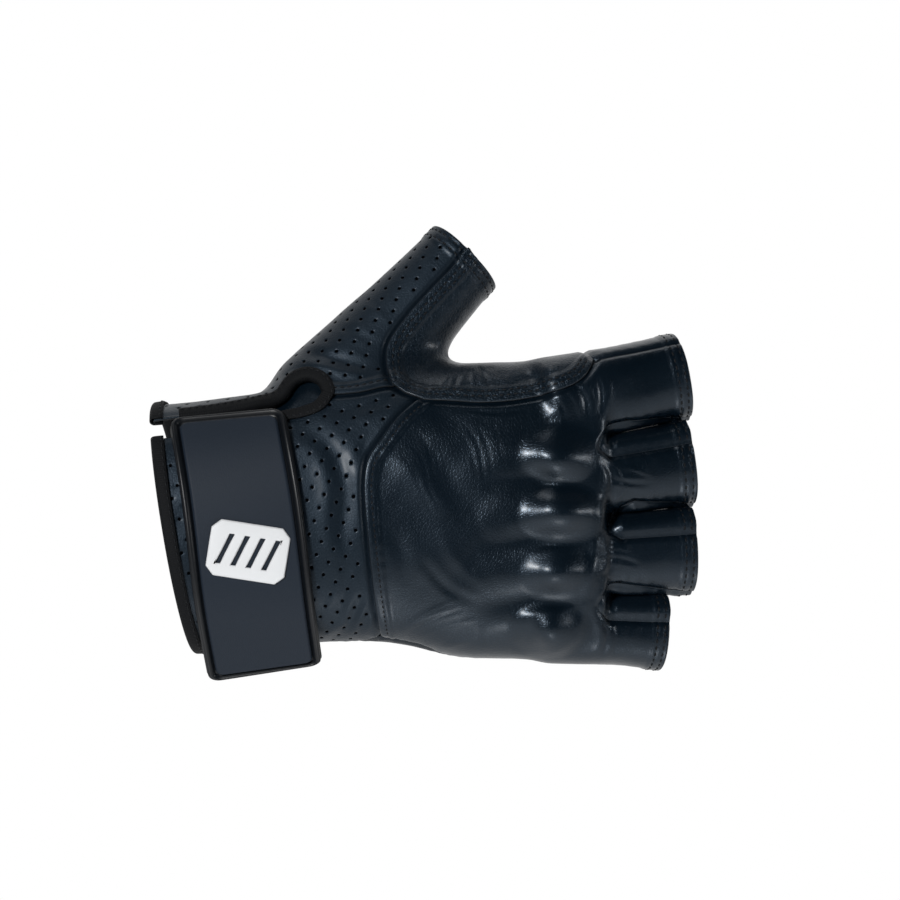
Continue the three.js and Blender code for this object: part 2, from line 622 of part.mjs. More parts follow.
// A strip that lines the gap between two fingers: down one, round the fork and up the next
function fourchette(i) {
  const back = joined(reversed(finger[i].backLow), fork[i].back, finger[i + 1].backHigh);
  const palm = joined(reversed(finger[i].palmLow), fork[i].palm, finger[i + 1].palmHigh);
  const near = fingerRim(i, FINGER_LOW_SEAM, -FORK_PALM_SEAM, STEPS.side);
  const far = fingerRim(i + 1, FINGERS[i + 1].seam, FORK_PALM_SEAM, STEPS.side);
  const past = STEPS.tongue + STEPS.fork;
  const formOf = (column) =>
    (column <= STEPS.tongue ? fingerForms[i] : column >= past ? fingerForms[i + 1] : formDistance);
  return sheetOf([patch(back, palm, near, far, formOf)]);
}

// The lip over the strap's sewn end stands proud along its lower edge
function lipLift(p) {
  const above = (p.z - lipEdgeZ(p.x)) / LIP_RISE;
  if (p.y > 0 || p.x > LIP_END || above < -0.2) return 0;
  const fade = THREE.MathUtils.smoothstep(LIP_END - p.x, 0, LIP_FADE);
  return LIP_LIFT * (1 - THREE.MathUtils.smoothstep(above, 0, 1)) * fade;
}

// A folded tape over a leather edge: its section as distance from the edge into the leather and
// height over the leather's outer face, carried along the edge
const TAPE_SECTION = [
  [TAPE_WIDE, TAPE_THICK + TAPE_GAP],
  [-TAPE_THICK - TAPE_GAP, TAPE_THICK + TAPE_GAP],
  [-TAPE_THICK - TAPE_GAP, -LEATHER - TAPE_THICK - TAPE_GAP],
  [TAPE_WIDE, -LEATHER - TAPE_THICK - TAPE_GAP],
  [TAPE_WIDE, -LEATHER - TAPE_GAP],
  [-TAPE_GAP, -LEATHER - TAPE_GAP],
  [-TAPE_GAP, TAPE_GAP],
  [TAPE_WIDE, TAPE_GAP],
];

function tapeGeometry(path, { lift = () => 0, side = 1 } = {}) {
  const count = path.length;
  const size = TAPE_SECTION.length;
  const points = path.flatMap((p, i) => {
    const normal = outwardAt(p);
    const way = path[Math.min(i + 1, count - 1)].clone().sub(path[Math.max(i - 1, 0)]).normalize();
    const inward = normal.clone().cross(way).multiplyScalar(side).normalize();
    return TAPE_SECTION.map(([into, over]) => {
      const q = into > 0 ? onForm(p.clone().addScaledVector(inward, into)) : p.clone().addScaledVector(inward, into);
      return q.addScaledVector(into > 0 ? outwardAt(q) : normal, over + lift(q));
    });
  });
  const faces = [];
  for (let i = 0; i + 1 < count; i += 1) {
    for (let k = 0; k < size; k += 1) {
      const a = i * size + k;
      const b = i * size + (k + 1) % size;
      faces.push(a, b, a + size, b, b + size, a + size);
    }
  }
  const outline = TAPE_SECTION.map(([x, y]) => new THREE.Vector2(x, y));
  const ends = THREE.ShapeUtils.triangulateShape(outline, []);
  for (const [a, b, c] of ends) {
    faces.push(a, c, b);
    const far = (count - 1) * size;
    faces.push(far + a, far + b, far + c);
  }
  return facingOut(indexedGeometry(points, faces));
}

// Turns every face over if the closed mesh is inside out
function facingOut(geometry) {
  const position = geometry.attributes.position;
  const index = geometry.index.array;
  const at = (i) => new THREE.Vector3().fromBufferAttribute(position, i);
  let volume = 0;
  for (let i = 0; i < index.length; i += 3) {
    volume += at(index[i]).dot(at(index[i + 1]).cross(at(index[i + 2])));
  }
  if (volume < 0) {
    for (let i = 0; i < index.length; i += 3) [index[i], index[i + 1]] = [index[i + 1], index[i]];
  }
  geometry.computeVertexNormals();
  return geometry;
}

function cuffBinding() {
  const edge = wristEdge(LIP_ANGLE, 360 + SLIT_ANGLE, STEPS.edge);
  return tapeGeometry(edge, { lift: lipLift, side: -1 });
}
// Round the wrist slit, clear of the tape on the wrist edge at both ends
function slitBinding() {
  const lip = line.lip.filter((p) => p.x > SLIT_TAPE_START);
  const low = reversed(line.slitLow).filter((p) => p.x > SLIT_TAPE_START).slice(1);
  return tapeGeometry([...lip, ...low], { lift: (p) => lipLift(p) });
}

// A rectangle of the back of the hand behind the slit's round end
function slitGusset() {
  const [from, to] = GUSSET_ALONG;
  const [low, high] = GUSSET_ACROSS;
  const [along, up] = GUSSET_STEPS;
  const rectangle = patch(
    arc((x) => backAt(x, low), from, to, along),
    arc((x) => backAt(x, high), from, to, along),
    arc((z) => backAt(from, z), low, high, up),
    arc((z) => backAt(to, z), low, high, up),
  );
  return wallGeometry(sheetOf([rectangle]), { thickness: GUSSET_THICK, lift: () => GUSSET_LIFT });
}

// The strap: its two long edges as places in the XZ plane from the lip to the free end. Past LEAVE the
// strap runs on straight, off the wrist.
const STRAP_EDGES = {
  near: [[-2.6, 32.6], [1.5, 9.5], [5.3, -21.5], [9.1, -45.6]],
  far: [[33.6, 36.2], [38.4, 9.4], [42.4, -21.9], [44.7, -39.9]],
};
function strapPoint(x, z) {
  const onWristZ = Math.max(z, STRAP_LEAVE);
  const p = backAt(x, onWristZ);
  const normal = outwardAt(p);
  const way = new THREE.Vector3(0, normal.z, -normal.y).normalize();
  if (way.z > 0) way.negate();
  if (z < STRAP_LEAVE) p.addScaledVector(way, (STRAP_LEAVE - z) / -way.z);
  return { p, normal };
}
const STRAP_NEAR = new THREE.SplineCurve(STRAP_EDGES.near.map(([x, z]) => new THREE.Vector2(x, z)));
const STRAP_FAR = new THREE.SplineCurve(STRAP_EDGES.far.map(([x, z]) => new THREE.Vector2(x, z)));

// A slab over the strap's field: inset from each edge, from one height over the wrist to another
function strapSlab(inset, from, to, [nu, nv]) {
  const length = STRAP_NEAR.getLength();
  const wide = STRAP_EDGES.far[0][0] - STRAP_EDGES.near[0][0];
  const points = [];
  const faces = [];
  const rows = [];
  for (let j = 0; j <= nv; j += 1) {
    for (let i = 0; i <= nu; i += 1) {
      const v = inset / length + (1 - 2 * inset / length) * j / nv;
      const u = inset / wide + (1 - 2 * inset / wide) * i / nu;
      const place = STRAP_NEAR.getPoint(v).lerp(STRAP_FAR.getPoint(v), u);
      rows.push(strapPoint(place.x, place.y));
    }
  }
  for (const height of [to, from]) {
    points.push(...rows.map(({ p, normal }) => p.clone().addScaledVector(normal, height)));
  }
  const sheet = [];
  for (let j = 0; j < nv; j += 1) {
    for (let i = 0; i < nu; i += 1) {
      const a = j * (nu + 1) + i;
      sheet.push([a, a + 1, a + nu + 2], [a, a + nu + 2, a + nu + 1]);
    }
  }
  const count = rows.length;
  for (const [a, b, c] of sheet) faces.push(a, b, c, a + count, c + count, b + count);
  for (const [a, b] of freeEdges(sheet)) faces.push(b, a, a + count, b, a + count, b + count);
  return facingOut(indexedGeometry(points, faces));
}

// A plain badge with cut corners and slanted slots, bent to the strap
function strapBadge() {
  const points = [];
  const shape = new THREE.Shape(BADGE_OUTLINE.map(([x, y]) => new THREE.Vector2(x, y)));
  for (let i = 0; i < BADGE_SLOTS; i += 1) {
    const x = (i - (BADGE_SLOTS - 1) / 2) * BADGE_SLOT_PITCH;
    const [w, h, lean] = BADGE_SLOT;
    shape.holes.push(new THREE.Path([[x - w - lean, -h], [x - w + lean, h], [x + w + lean, h], [x + w - lean, -h]]
      .map(([a, b]) => new THREE.Vector2(a, b))));
  }
  const { shape: outer, holes } = shape.extractPoints(1);
  const flat = [...outer, ...holes.flat()];
  const triangles = THREE.ShapeUtils.triangulateShape(outer, holes);
  const middle = strapPoint(...BADGE_MIDDLE);
  const along = new THREE.Vector3(Math.cos(BADGE_TURN), 0, Math.sin(BADGE_TURN));
  const up = middle.normal.clone().cross(along).normalize();
  along.copy(up).cross(middle.normal).normalize();
  for (const height of [BADGE_TOP, BADGE_FOOT]) {
    for (const { x, y } of flat) {
      points.push(middle.p.clone().addScaledVector(along, x).addScaledVector(up, y)
        .addScaledVector(middle.normal, height - y * y * BADGE_BEND));
    }
  }
  const count = flat.length;
  const faces = [];
  for (const [a, b, c] of triangles) faces.push(a, b, c, a + count, c + count, b + count);
  for (const [a, b] of freeEdges(triangles)) faces.push(b, a, a + count, b, a + count, b + count);
  return facingOut(indexedGeometry(points, faces));
}

const glove = new THREE.Group();
glove.add(
  named('back_panel', wallGeometry(backPanel()), LEATHER_SMOOTH),
  named('palm_panel', wallGeometry(palmPanel()), LEATHER_SMOOTH),
  named('wrist_back_panel', wallGeometry(wristBackPanel(), { gap: 0.4 }), LEATHER_PERFORATED),
  named('thumb_back_panel', wallGeometry(thumbBackPanel(), { lift: lipLift, gap: 0.3 }), LEATHER_PERFORATED),
  named('thumb_web_panel', wallGeometry(thumbWebPanel()), LEATHER_SMOOTH),
  named('thumb_palm_panel', wallGeometry(thumbPalmPanel(), { gap: 0.4 }), LEATHER_SMOOTH),
  named('index_side_strip', wallGeometry(indexSideStrip()), LEATHER_SMOOTH),
  named('fourchette_index_middle', wallGeometry(fourchette(0), { thickness: THIN_LEATHER, gap: 0.45 }),
    LEATHER_SMOOTH),
  named('fourchette_middle_ring', wallGeometry(fourchette(1), { thickness: THIN_LEATHER, gap: 0.45 }),
    LEATHER_SMOOTH),
  named('fourchette_ring_little', wallGeometry(fourchette(2), { thickness: THIN_LEATHER, gap: 0.6 }),
    LEATHER_SMOOTH),
  named('cuff_binding', cuffBinding(), TAPE),
  named('slit_binding', slitBinding(), TAPE),
  named('slit_gusset', slitGusset(), LEATHER_SMOOTH),
  named('strap_band', strapSlab(0, STRAP_FOOT, STRAP_FOOT + STRAP_THICK, STRAP_STEPS), RUBBER),
  named('strap_patch', strapSlab(PATCH_INSET, PATCH_FOOT, PATCH_FOOT + PATCH_THICK, PATCH_STEPS), RUBBER_MATTE),
  named('strap_badge', strapBadge(), BADGE),
);

export default glove;
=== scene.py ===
# %% [markdown]
# # A fingerless motorcycle glove in black leather
#
# The glove keeps the shape that wear has given its leather: knuckle domes, creases where it bends, and
# open ends at the wrist, the thumb and the fingers. It could be sculpted freely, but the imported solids
# already say where every seam runs. So this lesson works out the same smooth form as the solids do,
# lays one fine sheet of leather on it for each sewn piece, and gives each sheet its thickness, its
# seams, its wrinkles and its stitches.

# %% Load the frame
import math

import bpy
import numpy as np
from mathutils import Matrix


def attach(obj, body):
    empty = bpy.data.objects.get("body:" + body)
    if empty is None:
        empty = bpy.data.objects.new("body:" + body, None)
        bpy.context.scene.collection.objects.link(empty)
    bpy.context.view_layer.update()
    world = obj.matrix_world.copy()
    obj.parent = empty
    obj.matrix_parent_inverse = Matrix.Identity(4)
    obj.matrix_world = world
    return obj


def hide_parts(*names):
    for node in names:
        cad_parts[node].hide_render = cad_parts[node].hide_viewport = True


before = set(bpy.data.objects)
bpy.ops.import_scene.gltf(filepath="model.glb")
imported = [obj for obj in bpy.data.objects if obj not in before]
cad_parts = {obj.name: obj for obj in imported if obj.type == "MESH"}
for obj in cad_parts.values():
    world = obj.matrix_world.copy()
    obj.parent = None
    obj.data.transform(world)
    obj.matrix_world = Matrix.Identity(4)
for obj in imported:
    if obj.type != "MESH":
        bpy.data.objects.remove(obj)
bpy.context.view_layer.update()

MM = 0.001
DEG = math.pi / 180

# %% [markdown]
# ## The form of the glove
#
# The outside of a worn glove is a flattened tube for the palm, one tube for each finger and one for the
# thumb, all run softly together. Each tube is a short table of sections, in millimetres. A section has
# the width and depth of the glove there, and `full` says how square it is: 2 is an ellipse. The tables
# are the ones that the solids were made from, so that each sheet lands where its solid is.

# %% Tables of the form
def table(names, *rows):
    """Rows of numbers with named columns, kept as one array for each column."""
    return dict(zip(names.split(), np.array(rows, float).T))


PALM = table(
    "at top bottom back palm full",
    (-14, 38.0, -39.0, 25.0, 25.0, 2.1),
    (5, 40.0, -37.6, 25.0, 25.5, 2.1),
    (25, 42.0, -36.2, 24.5, 26.0, 2.2),
    (45, 46.0, -35.0, 23.5, 26.0, 2.3),
    (65, 50.0, -35.0, 22.5, 25.0, 2.4),
    (85, 52.0, -39.3, 21.0, 23.0, 2.4),
    (105, 52.6, -40.2, 19.5, 19.5, 2.5),
    (120, 53.4, -40.8, 17.6, 16.5, 2.5),
    (138, 54.0, -40.6, 14.6, 13.0, 2.5),
)
PALM_END, PALM_END_ROUND = 133, 4

# Fingers: middle inside the palm and at the rim, half widths, half depth, angle of the upper seam, and
# how far along the finger its two seams start
FINGERS = [
    dict(root=(112, -6.5, 39.1), rim=(156.3, 5, 48.1), wide=(13.7, 13.5, 13.35), deep=11.8, seam=51,
         root_high=17.6, root_low=24.6),
    dict(root=(112, -7.0, 14.2), rim=(158.1, 5, 21.0), wide=(12.2, 12.2, 13.35), deep=12.0, seam=28,
         root_high=21.5, root_low=27.4),
    dict(root=(112, -6.0, -8.4), rim=(158.9, 6, -6.4), wide=(11.9, 12.3, 13.5), deep=11.8, seam=23,
         root_high=24.2, root_low=23.3),
    dict(root=(112, -4.0, -29.9), rim=(150.2, 6, -32.0), wide=(11.0, 11.1, 11.8), deep=10.6, seam=16,
         root_high=20.1, root_low=22.0),
]
FORK_ALONG, FINGER_FULL, FINGER_START_ROUND = 24, 2.3, 6

THUMB = table(
    "at outer inner shift back palm",
    (0, 13.6, -26.0, 6.0, 15.0, 18.0),
    (16, 13.8, -24.0, 5.0, 15.5, 18.0),
    (34, 12.7, -21.5, 3.5, 14.5, 16.0),
    (51, 11.7, -18.6, 1.5, 13.0, 14.0),
    (61, 11.2, -17.2, 0.5, 12.3, 13.0),
    (75, 11.3, -15.8, 0.0, 12.0, 12.3),
    (92, 11.3, -15.4, 0.0, 12.0, 12.0),
)
THUMB_ROOT, THUMB_WAY, THUMB_SIDE = (35.4, -3.7, 35.4), (1, 0.311, 1), (-1, 0, 1)
THUMB_FULL, THUMB_START, THUMB_START_ROUND, THUMB_RIM = 2.2, 4, 8, 75

# How softly the tubes run into each other, and the knuckle domes on top of them
FINGER_TO_PALM, FINGER_TO_FINGER, THUMB_TO_PALM = 3, 2, 10
DOMES = table(
    "x z along across height",
    (118.5, 24.2, 14, 10.5, 4.6),
    (119.5, 5.0, 15, 10.5, 5.0),
    (119.0, -13.8, 14, 10.0, 4.6),
    (115.5, -30.6, 14, 9.5, 4.0),
)
DOMES_BELOW_Y = -4
print(f"{len(FINGERS)} fingers, {len(PALM['at'])} palm sections, {len(THUMB['at'])} thumb sections")

# %% [markdown]
# ## Distance to the form
#
# Any point of space gets one number: how far it is outside the form. Sheets are then laid by moving
# each point down the slope of that number until it is zero, which works on thousands of points at once
# and leaves no seam between two tubes. Boolean joins of real tubes would leave hard creases instead.

# %% The form as a distance
def row_at(rows, at):
    """The table's row at any place, each column a cubic whose slope at a row is
    (next value - previous value) / (their distance)."""
    knots = rows["at"]
    index = np.arange(len(knots))
    before, after = np.maximum(index - 1, 0), np.minimum(index + 1, len(knots) - 1)
    place = np.clip(at, knots[0], knots[-1])
    i = np.clip(np.searchsorted(knots, place) - 1, 0, len(knots) - 2)
    span = knots[i + 1] - knots[i]
    f = (place - knots[i]) / span
    weights = ((2 * f - 3) * f * f + 1, ((f - 2) * f + 1) * f * span,
               (3 - 2 * f) * f * f, (f - 1) * f * f * span)
    row = {}
    for name, values in rows.items():
        slope = (values[after] - values[before]) / (knots[after] - knots[before])
        row[name] = (weights[0] * values[i] + weights[1] * slope[i] + weights[2] * values[i + 1]
                     + weights[3] * slope[i + 1])
    return row


NEAR_MIDDLE = 0.05


def tube_distance(across, depth, top, bottom, back, palm, full):
    """Distance from a flattened tube's wall along the line from its middle: reach - reach / ratio, where
    ratio ** full = |side / half width| ** full + |depth / half depth| ** full."""
    half = (top - bottom) / 2
    side = across - (top + bottom) / 2
    deep = np.where(depth < 0, back, palm)
    ratio = (np.abs(side / half) ** full + np.abs(depth / deep) ** full) ** (1 / full)
    reach = np.hypot(side, depth)
    return np.where(ratio < NEAR_MIDDLE, -np.minimum(half, deep),
                    reach - reach / np.maximum(ratio, NEAR_MIDDLE))


def soft_min(a, b, soft):
    """The smaller of two distances, rounded where they differ by less than soft."""
    near = np.maximum(soft - np.abs(a - b), 0) / soft
    return np.minimum(a, b) - near * near * soft / 4


def unit(vectors):
    return vectors / np.maximum(np.linalg.norm(vectors, axis=-1, keepdims=True), 1e-12)


def limb_axes(way, sideways):
    """Three axes of a limb: along it, across it, and towards the palm."""
    way = unit(np.array(way, float))
    across = unit(np.array(sideways, float) - np.dot(sideways, way) * way)
    return np.array([way, across, np.cross(across, way)])


THUMB_AXES = limb_axes(THUMB_WAY, THUMB_SIDE)
for finger in FINGERS:
    reach = np.subtract(finger["rim"], finger["root"])
    finger["length"] = float(np.linalg.norm(reach))
    finger["axes"] = limb_axes(reach, (0, 0, 1))
    finger["sections"] = table("at wide", *zip((0, FORK_ALONG, finger["length"]), finger["wide"]))


def palm_distance(p):
    row = row_at(PALM, p[:, 0])
    outline = (row[name] for name in ("top", "bottom", "back", "palm", "full"))
    wall = tube_distance(p[:, 2], p[:, 1], *outline)
    return -soft_min(-wall, PALM_END - p[:, 0], PALM_END_ROUND)


def finger_distance(finger, p):
    along, across, depth = finger["axes"] @ (p - finger["root"]).T
    wide = row_at(finger["sections"], along)["wide"]
    wall = tube_distance(across, depth, wide, -wide, finger["deep"], finger["deep"], FINGER_FULL)
    return -soft_min(-wall, along, FINGER_START_ROUND)


def thumb_distance(p):
    along, across, depth = THUMB_AXES @ (p - THUMB_ROOT).T
    row = row_at(THUMB, along)
    outline = (row[name] for name in ("outer", "inner", "back", "palm"))
    wall = tube_distance(across, depth - row["shift"], *outline, THUMB_FULL)
    return -soft_min(-wall, along - THUMB_START, THUMB_START_ROUND)


def dome_height(p):
    """Each dome is height * (1 - r * r) ** 2, r being 0 at its top and 1 at its edge."""
    height = np.zeros(len(p))
    for x, z, along, across, top in zip(*DOMES.values()):
        r2 = ((p[:, 0] - x) / along) ** 2 + ((p[:, 2] - z) / across) ** 2
        height += top * np.maximum(1 - r2, 0) ** 2
    return np.where(p[:, 1] > DOMES_BELOW_Y, 0, height)


WHOLE = -1


def form(p, only=WHOLE):
    """How far points are outside the form. With only, the form has just that finger, which is what a
    piece in the gap between two fingers is laid on."""
    fingers = FINGERS if only == WHOLE else [FINGERS[only]]
    near = finger_distance(fingers[0], p)
    for finger in fingers[1:]:
        near = soft_min(near, finger_distance(finger, p), FINGER_TO_FINGER)
    near = soft_min(palm_distance(p), near, FINGER_TO_PALM)
    return soft_min(near, thumb_distance(p), THUMB_TO_PALM) - dome_height(p)


# %% Laying points on the form
PROBES = np.array([(1, -1, -1), (-1, -1, 1), (-1, 1, -1), (1, 1, 1)], float)
NEWTON_TURNS, NEWTON_REACH, ON_FORM = 12, 4, 1e-3


def slope_at(p, only=WHOLE, step=0.02):
    """The form's slope from four points round each place."""
    around = (p[:, None] + step * PROBES).reshape(-1, 3)
    return form(around, only).reshape(len(p), 4) @ PROBES / (4 * step)


def on_form(p, only=WHOLE):
    """Newton steps down the slope, each at most NEWTON_REACH mm, until every point is on the form."""
    q = np.array(p, float)
    left = np.arange(len(q))
    for _ in range(NEWTON_TURNS):
        distance = form(q[left], only)
        off = np.abs(distance) > ON_FORM
        left, distance = left[off], distance[off]
        if not len(left):
            break
        slope = slope_at(q[left], only)
        move = np.clip(distance / (slope ** 2).sum(1), -NEWTON_REACH, NEWTON_REACH)
        q[left] -= slope * move[:, None]
    return q


def by_form(work, p, only):
    """Runs work(points, finger) on the points of each finger's own form."""
    result = np.empty((len(p), 3))
    for i in np.unique(only):
        result[only == i] = work(p[only == i], int(i))
    return result


def outward(p, only=WHOLE):
    return unit(slope_at(p, only))


OUTSIDE, APPROACH, LEAST_STEP, FOUND = 60.0, 0.7, 0.02, 0.002


def face_at(places, sign):
    """The form's face along Y at places (x, z): sign -1 is the back of the hand, 1 the palm. Each point
    comes from OUTSIDE in steps of its distance times APPROACH."""
    x, z = np.array(places, float).reshape(-1, 2).T
    p = np.stack([x, np.full(len(x), sign * OUTSIDE), z], 1)
    best, best_y = np.full(len(p), np.inf), p[:, 1].copy()
    left = np.arange(len(p))
    while len(left):
        distance = form(p[left])
        better = distance < best[left]
        best[left[better]], best_y[left[better]] = distance[better], p[left[better], 1]
        p[left, 1] -= sign * np.maximum(distance * APPROACH, LEAST_STEP)
        left = left[(p[left, 1] * sign > -OUTSIDE) & (best[left] > FOUND)]
    return on_form(np.stack([x, best_y, z], 1))


def back_at(*places):
    return face_at(places, -1)


def palm_at(*places):
    return face_at(places, 1)


# %% Places by angle
def by_limb(root, axes, along, angle, wide, deep, middle=0.0, shift=0.0):
    """A place near a limb's wall: distance along it, and angle from its back towards its outer side."""
    turn = np.array(angle, float) * DEG
    along, across, depth = np.broadcast_arrays(along, middle + wide * np.sin(turn),
                                               shift - deep * np.cos(turn))
    return np.array(root) + np.stack([along, across, depth], -1).reshape(-1, 3) @ axes


def on_finger(i, along, angle):
    finger = FINGERS[i]
    wide = row_at(finger["sections"], np.atleast_1d(np.array(along, float)))["wide"]
    return on_form(by_limb(finger["root"], finger["axes"], along, angle, wide, finger["deep"]), i)


def on_thumb(along, angle):
    row = row_at(THUMB, np.atleast_1d(np.array(along, float)))
    deep = np.where(np.cos(np.array(angle, float) * DEG) > 0, row["back"], row["palm"])
    wide, middle = (row["outer"] - row["inner"]) / 2, (row["outer"] + row["inner"]) / 2
    return on_form(by_limb(THUMB_ROOT, THUMB_AXES, along, angle, wide, deep, middle, row["shift"]))


def on_wrist(x, angle):
    x, turn = np.broadcast_arrays(np.atleast_1d(np.array(x, float)), np.array(angle, float) * DEG)
    row = row_at(PALM, x)
    deep = np.where(np.cos(turn) > 0, row["back"], row["palm"])
    half, middle = (row["top"] - row["bottom"]) / 2, (row["top"] + row["bottom"]) / 2
    return on_form(np.stack([x, -deep * np.cos(turn), middle + half * np.sin(turn)], 1))


CUFF_AT, CUFF_BY_Z, CUFF_BY_Y, CUFF_TURNS = -0.8, -0.165, 0.1, 4


def on_wrist_edge(angle):
    """The wrist edge lies in one slanting plane, x = CUFF_AT + CUFF_BY_Z * z + CUFF_BY_Y * y."""
    angle = np.atleast_1d(np.array(angle, float))
    p = on_wrist(np.zeros(len(angle)), angle)
    for _ in range(CUFF_TURNS):
        p = on_wrist(CUFF_AT + CUFF_BY_Z * p[:, 2] + CUFF_BY_Y * p[:, 1], angle)
    return p


print("wrist edge at the thumb side:", on_wrist_edge(112).round(1).tolist())

# %% [markdown]
# ## Seams
#
# A seam is drawn as a few places and a smooth curve through them, then pushed onto the form, the way a
# pattern maker chalks a line on a last. The curve passes through its points without overshooting
# because its knots are spaced by the root of their distance.

# %% Curves through places
def curve_at(points, places):
    """A centripetal Catmull-Rom curve at places counted in points."""
    ends = np.vstack([2 * points[0] - points[1], points, 2 * points[-1] - points[-2]])
    gaps = np.sqrt(np.linalg.norm(np.diff(ends, axis=0), axis=1))
    i = np.clip(places.astype(int), 0, len(points) - 2)
    w = (places - i)[:, None]
    p0, p1, p2, p3 = (ends[i + k] for k in range(4))
    g0, g1, g2 = (gaps[i + k][:, None] for k in range(3))
    leave = ((p1 - p0) / g0 - (p2 - p0) / (g0 + g1) + (p2 - p1) / g1) * g1
    arrive = ((p2 - p1) / g1 - (p3 - p1) / (g1 + g2) + (p3 - p2) / g2) * g1
    return (p1 + leave * w + (3 * (p2 - p1) - 2 * leave - arrive) * w ** 2
            + (2 * (p1 - p2) + leave + arrive) * w ** 3)


def along_run(run):
    """Arc length from the start of a run to each of its points."""
    return np.r_[0, np.cumsum(np.linalg.norm(np.diff(run, axis=0), axis=1))]


RUN_SAMPLES = 401


def smooth_run(points, steps, crowding=1.0):
    """Points of the curve at even arc lengths, or closer together towards its end."""
    points = np.vstack(points)
    places = np.linspace(0, len(points) - 1, RUN_SAMPLES)
    lengths = along_run(curve_at(points, places))
    share = 1 - (1 - np.arange(steps + 1) / steps) ** crowding
    return curve_at(points, np.interp(share * lengths[-1], lengths, places))


def seam(points, steps, crowding=1.0):
    points = np.vstack(points)
    run = on_form(smooth_run(points, steps, crowding))
    run[0], run[-1] = points[0], points[-1]
    return run


def joined(*runs):
    return np.vstack([runs[0], *(run[1:] for run in runs[1:])])


def angles(start, end, steps):
    return np.linspace(start, end, steps + 1)


# %% Corners and seams of the pattern
LOW_SEAM, LOW_ROOT, PALM_SEAM, FORK_PALM_SEAM = -72, -48, 112, 135
THUMB_WEB_SEAM, THUMB_PALM_SEAM, WRIST_SEAM, LIP_ANGLE, SLIT_ANGLE = 3, 115, 112, 58, 47
PALM_FORK = 23

JUNCTION, PANEL_TOP, PANEL_FOOT, KEYHOLE = back_at((67.2, 45.9), (76.6, 41.4), (64.1, -33.2),
                                                   (45.8, 43.2))
THUMB_BASE, CROTCH = on_form(np.array([(35, 14, 50), (90, 12, 51)], float))
THENAR = palm_at((60, 20))[0]
INDEX_ROOT = on_finger(0, FINGERS[0]["root_high"], FINGERS[0]["seam"])[0]
INDEX_UNDER = on_finger(0, FINGERS[0]["root_high"], PALM_SEAM)[0]
LITTLE_UNDER = on_finger(3, FINGERS[3]["root_low"], -PALM_SEAM)[0]
EDGE_OUTER, EDGE_LOWER, LIP_EDGE, SLIT_EDGE = on_wrist_edge([WRIST_SEAM, -WRIST_SEAM, LIP_ANGLE,
                                                             SLIT_ANGLE])
RIM_BACK, RIM_OUTER, RIM_INNER = on_thumb(THUMB_RIM, [THUMB_WEB_SEAM, THUMB_PALM_SEAM, -THUMB_PALM_SEAM])

SEAMS = {
    "thumb_back": [JUNCTION, back_at((65.6, 51), (65.9, 57.5), (72, 66.6), (80, 75.5), (86.5, 82.5)),
                   RIM_BACK],
    "web_left": [JUNCTION, back_at((70.6, 43.6)), PANEL_TOP],
    "web_right": [PANEL_TOP, back_at((84.4, 41.2), (93.8, 40.6), (103.1, 41.2), (112.5, 42.8),
                                     (120.3, 45.3), (125.2, 48.2)), INDEX_ROOT],
    "web_under": [INDEX_UNDER, on_wrist([118, 104], [104, 108]), CROTCH],
    "thumb_inner": [CROTCH, on_thumb([58, 67], [-THUMB_PALM_SEAM] * 2), RIM_INNER],
    "thumb_outer": [THUMB_BASE, on_thumb([22, 40, 58], [THUMB_PALM_SEAM] * 3), RIM_OUTER],
    "thenar_low": [THUMB_BASE, palm_at((44, 30)), THENAR],
    "thenar_high": [THENAR, palm_at((76, 23), (87, 36)), CROTCH],
    "palm_middle": [THENAR, palm_at((62, 0), (63, -20)), PANEL_FOOT],
    "panel_left": [PANEL_TOP, back_at((68.8, 34.4), (64.1, 28.1), (60.2, 22.5), (58.8, 15.6), (59.1, 6.2),
                                      (60, -3.1), (61.3, -15.6), (62.5, -25)), PANEL_FOOT],
    "panel_bottom": [PANEL_FOOT, back_at((68.8, -34.6), (76.6, -36.7), (84, -39.2)),
                     on_wrist([95, 112], [-98, -108]), LITTLE_UNDER],
    "wrist_bottom": [EDGE_LOWER, on_wrist([25, 47], [-110, -99]), PANEL_FOOT],
    "slit_low": [SLIT_EDGE, back_at((15, 31.4), (32, 36.2), (38.5, 37.6), (43.2, 39.6)), KEYHOLE],
    "thumb_seam": [KEYHOLE, back_at((50.5, 43.2), (56.3, 43.8), (62.5, 45.2)), JUNCTION],
    "lip": [LIP_EDGE, back_at((15, 36.0), (28.6, 39.4), (32.6, 42.2), (35.3, 46.0), (39.8, 47.9),
                              (43.9, 46.4)), KEYHOLE],
    "bulge": [KEYHOLE, back_at((42, 52)), THUMB_BASE],
    "radial": [EDGE_OUTER, on_wrist([12, 25], [WRIST_SEAM] * 2), THUMB_BASE],
}
CROWDED = {"slit_low": 1.5, "lip": 1.5}
FORKS = [
    dict(round=back_at((131.8, 28.2), (131.2, 25.6)), palm=palm_at((131.5, 29.6))),
    dict(round=back_at((134.6, 3.4), (133.8, 0.6)), palm=palm_at((132.5, 5.2))),
    dict(round=back_at((132.0, -21.0), (130.4, -24.2)), palm=palm_at((130.5, -20.2))),
]


def run(name, steps):
    return seam(SEAMS[name], steps, CROWDED.get(name, 1.0))


def wrist_edge(start, end, steps):
    return on_wrist_edge(angles(start, end, steps))


def thumb_rim(start, end, steps):
    return on_thumb(THUMB_RIM, angles(start, end, steps))


def over_finger(i, start, end, steps):
    """A curve over a finger between two places, each a distance along it and an angle."""
    share = np.linspace(0, 1, steps + 1)
    return on_finger(i, start[0] + (end[0] - start[0]) * share, start[1] + (end[1] - start[1]) * share)


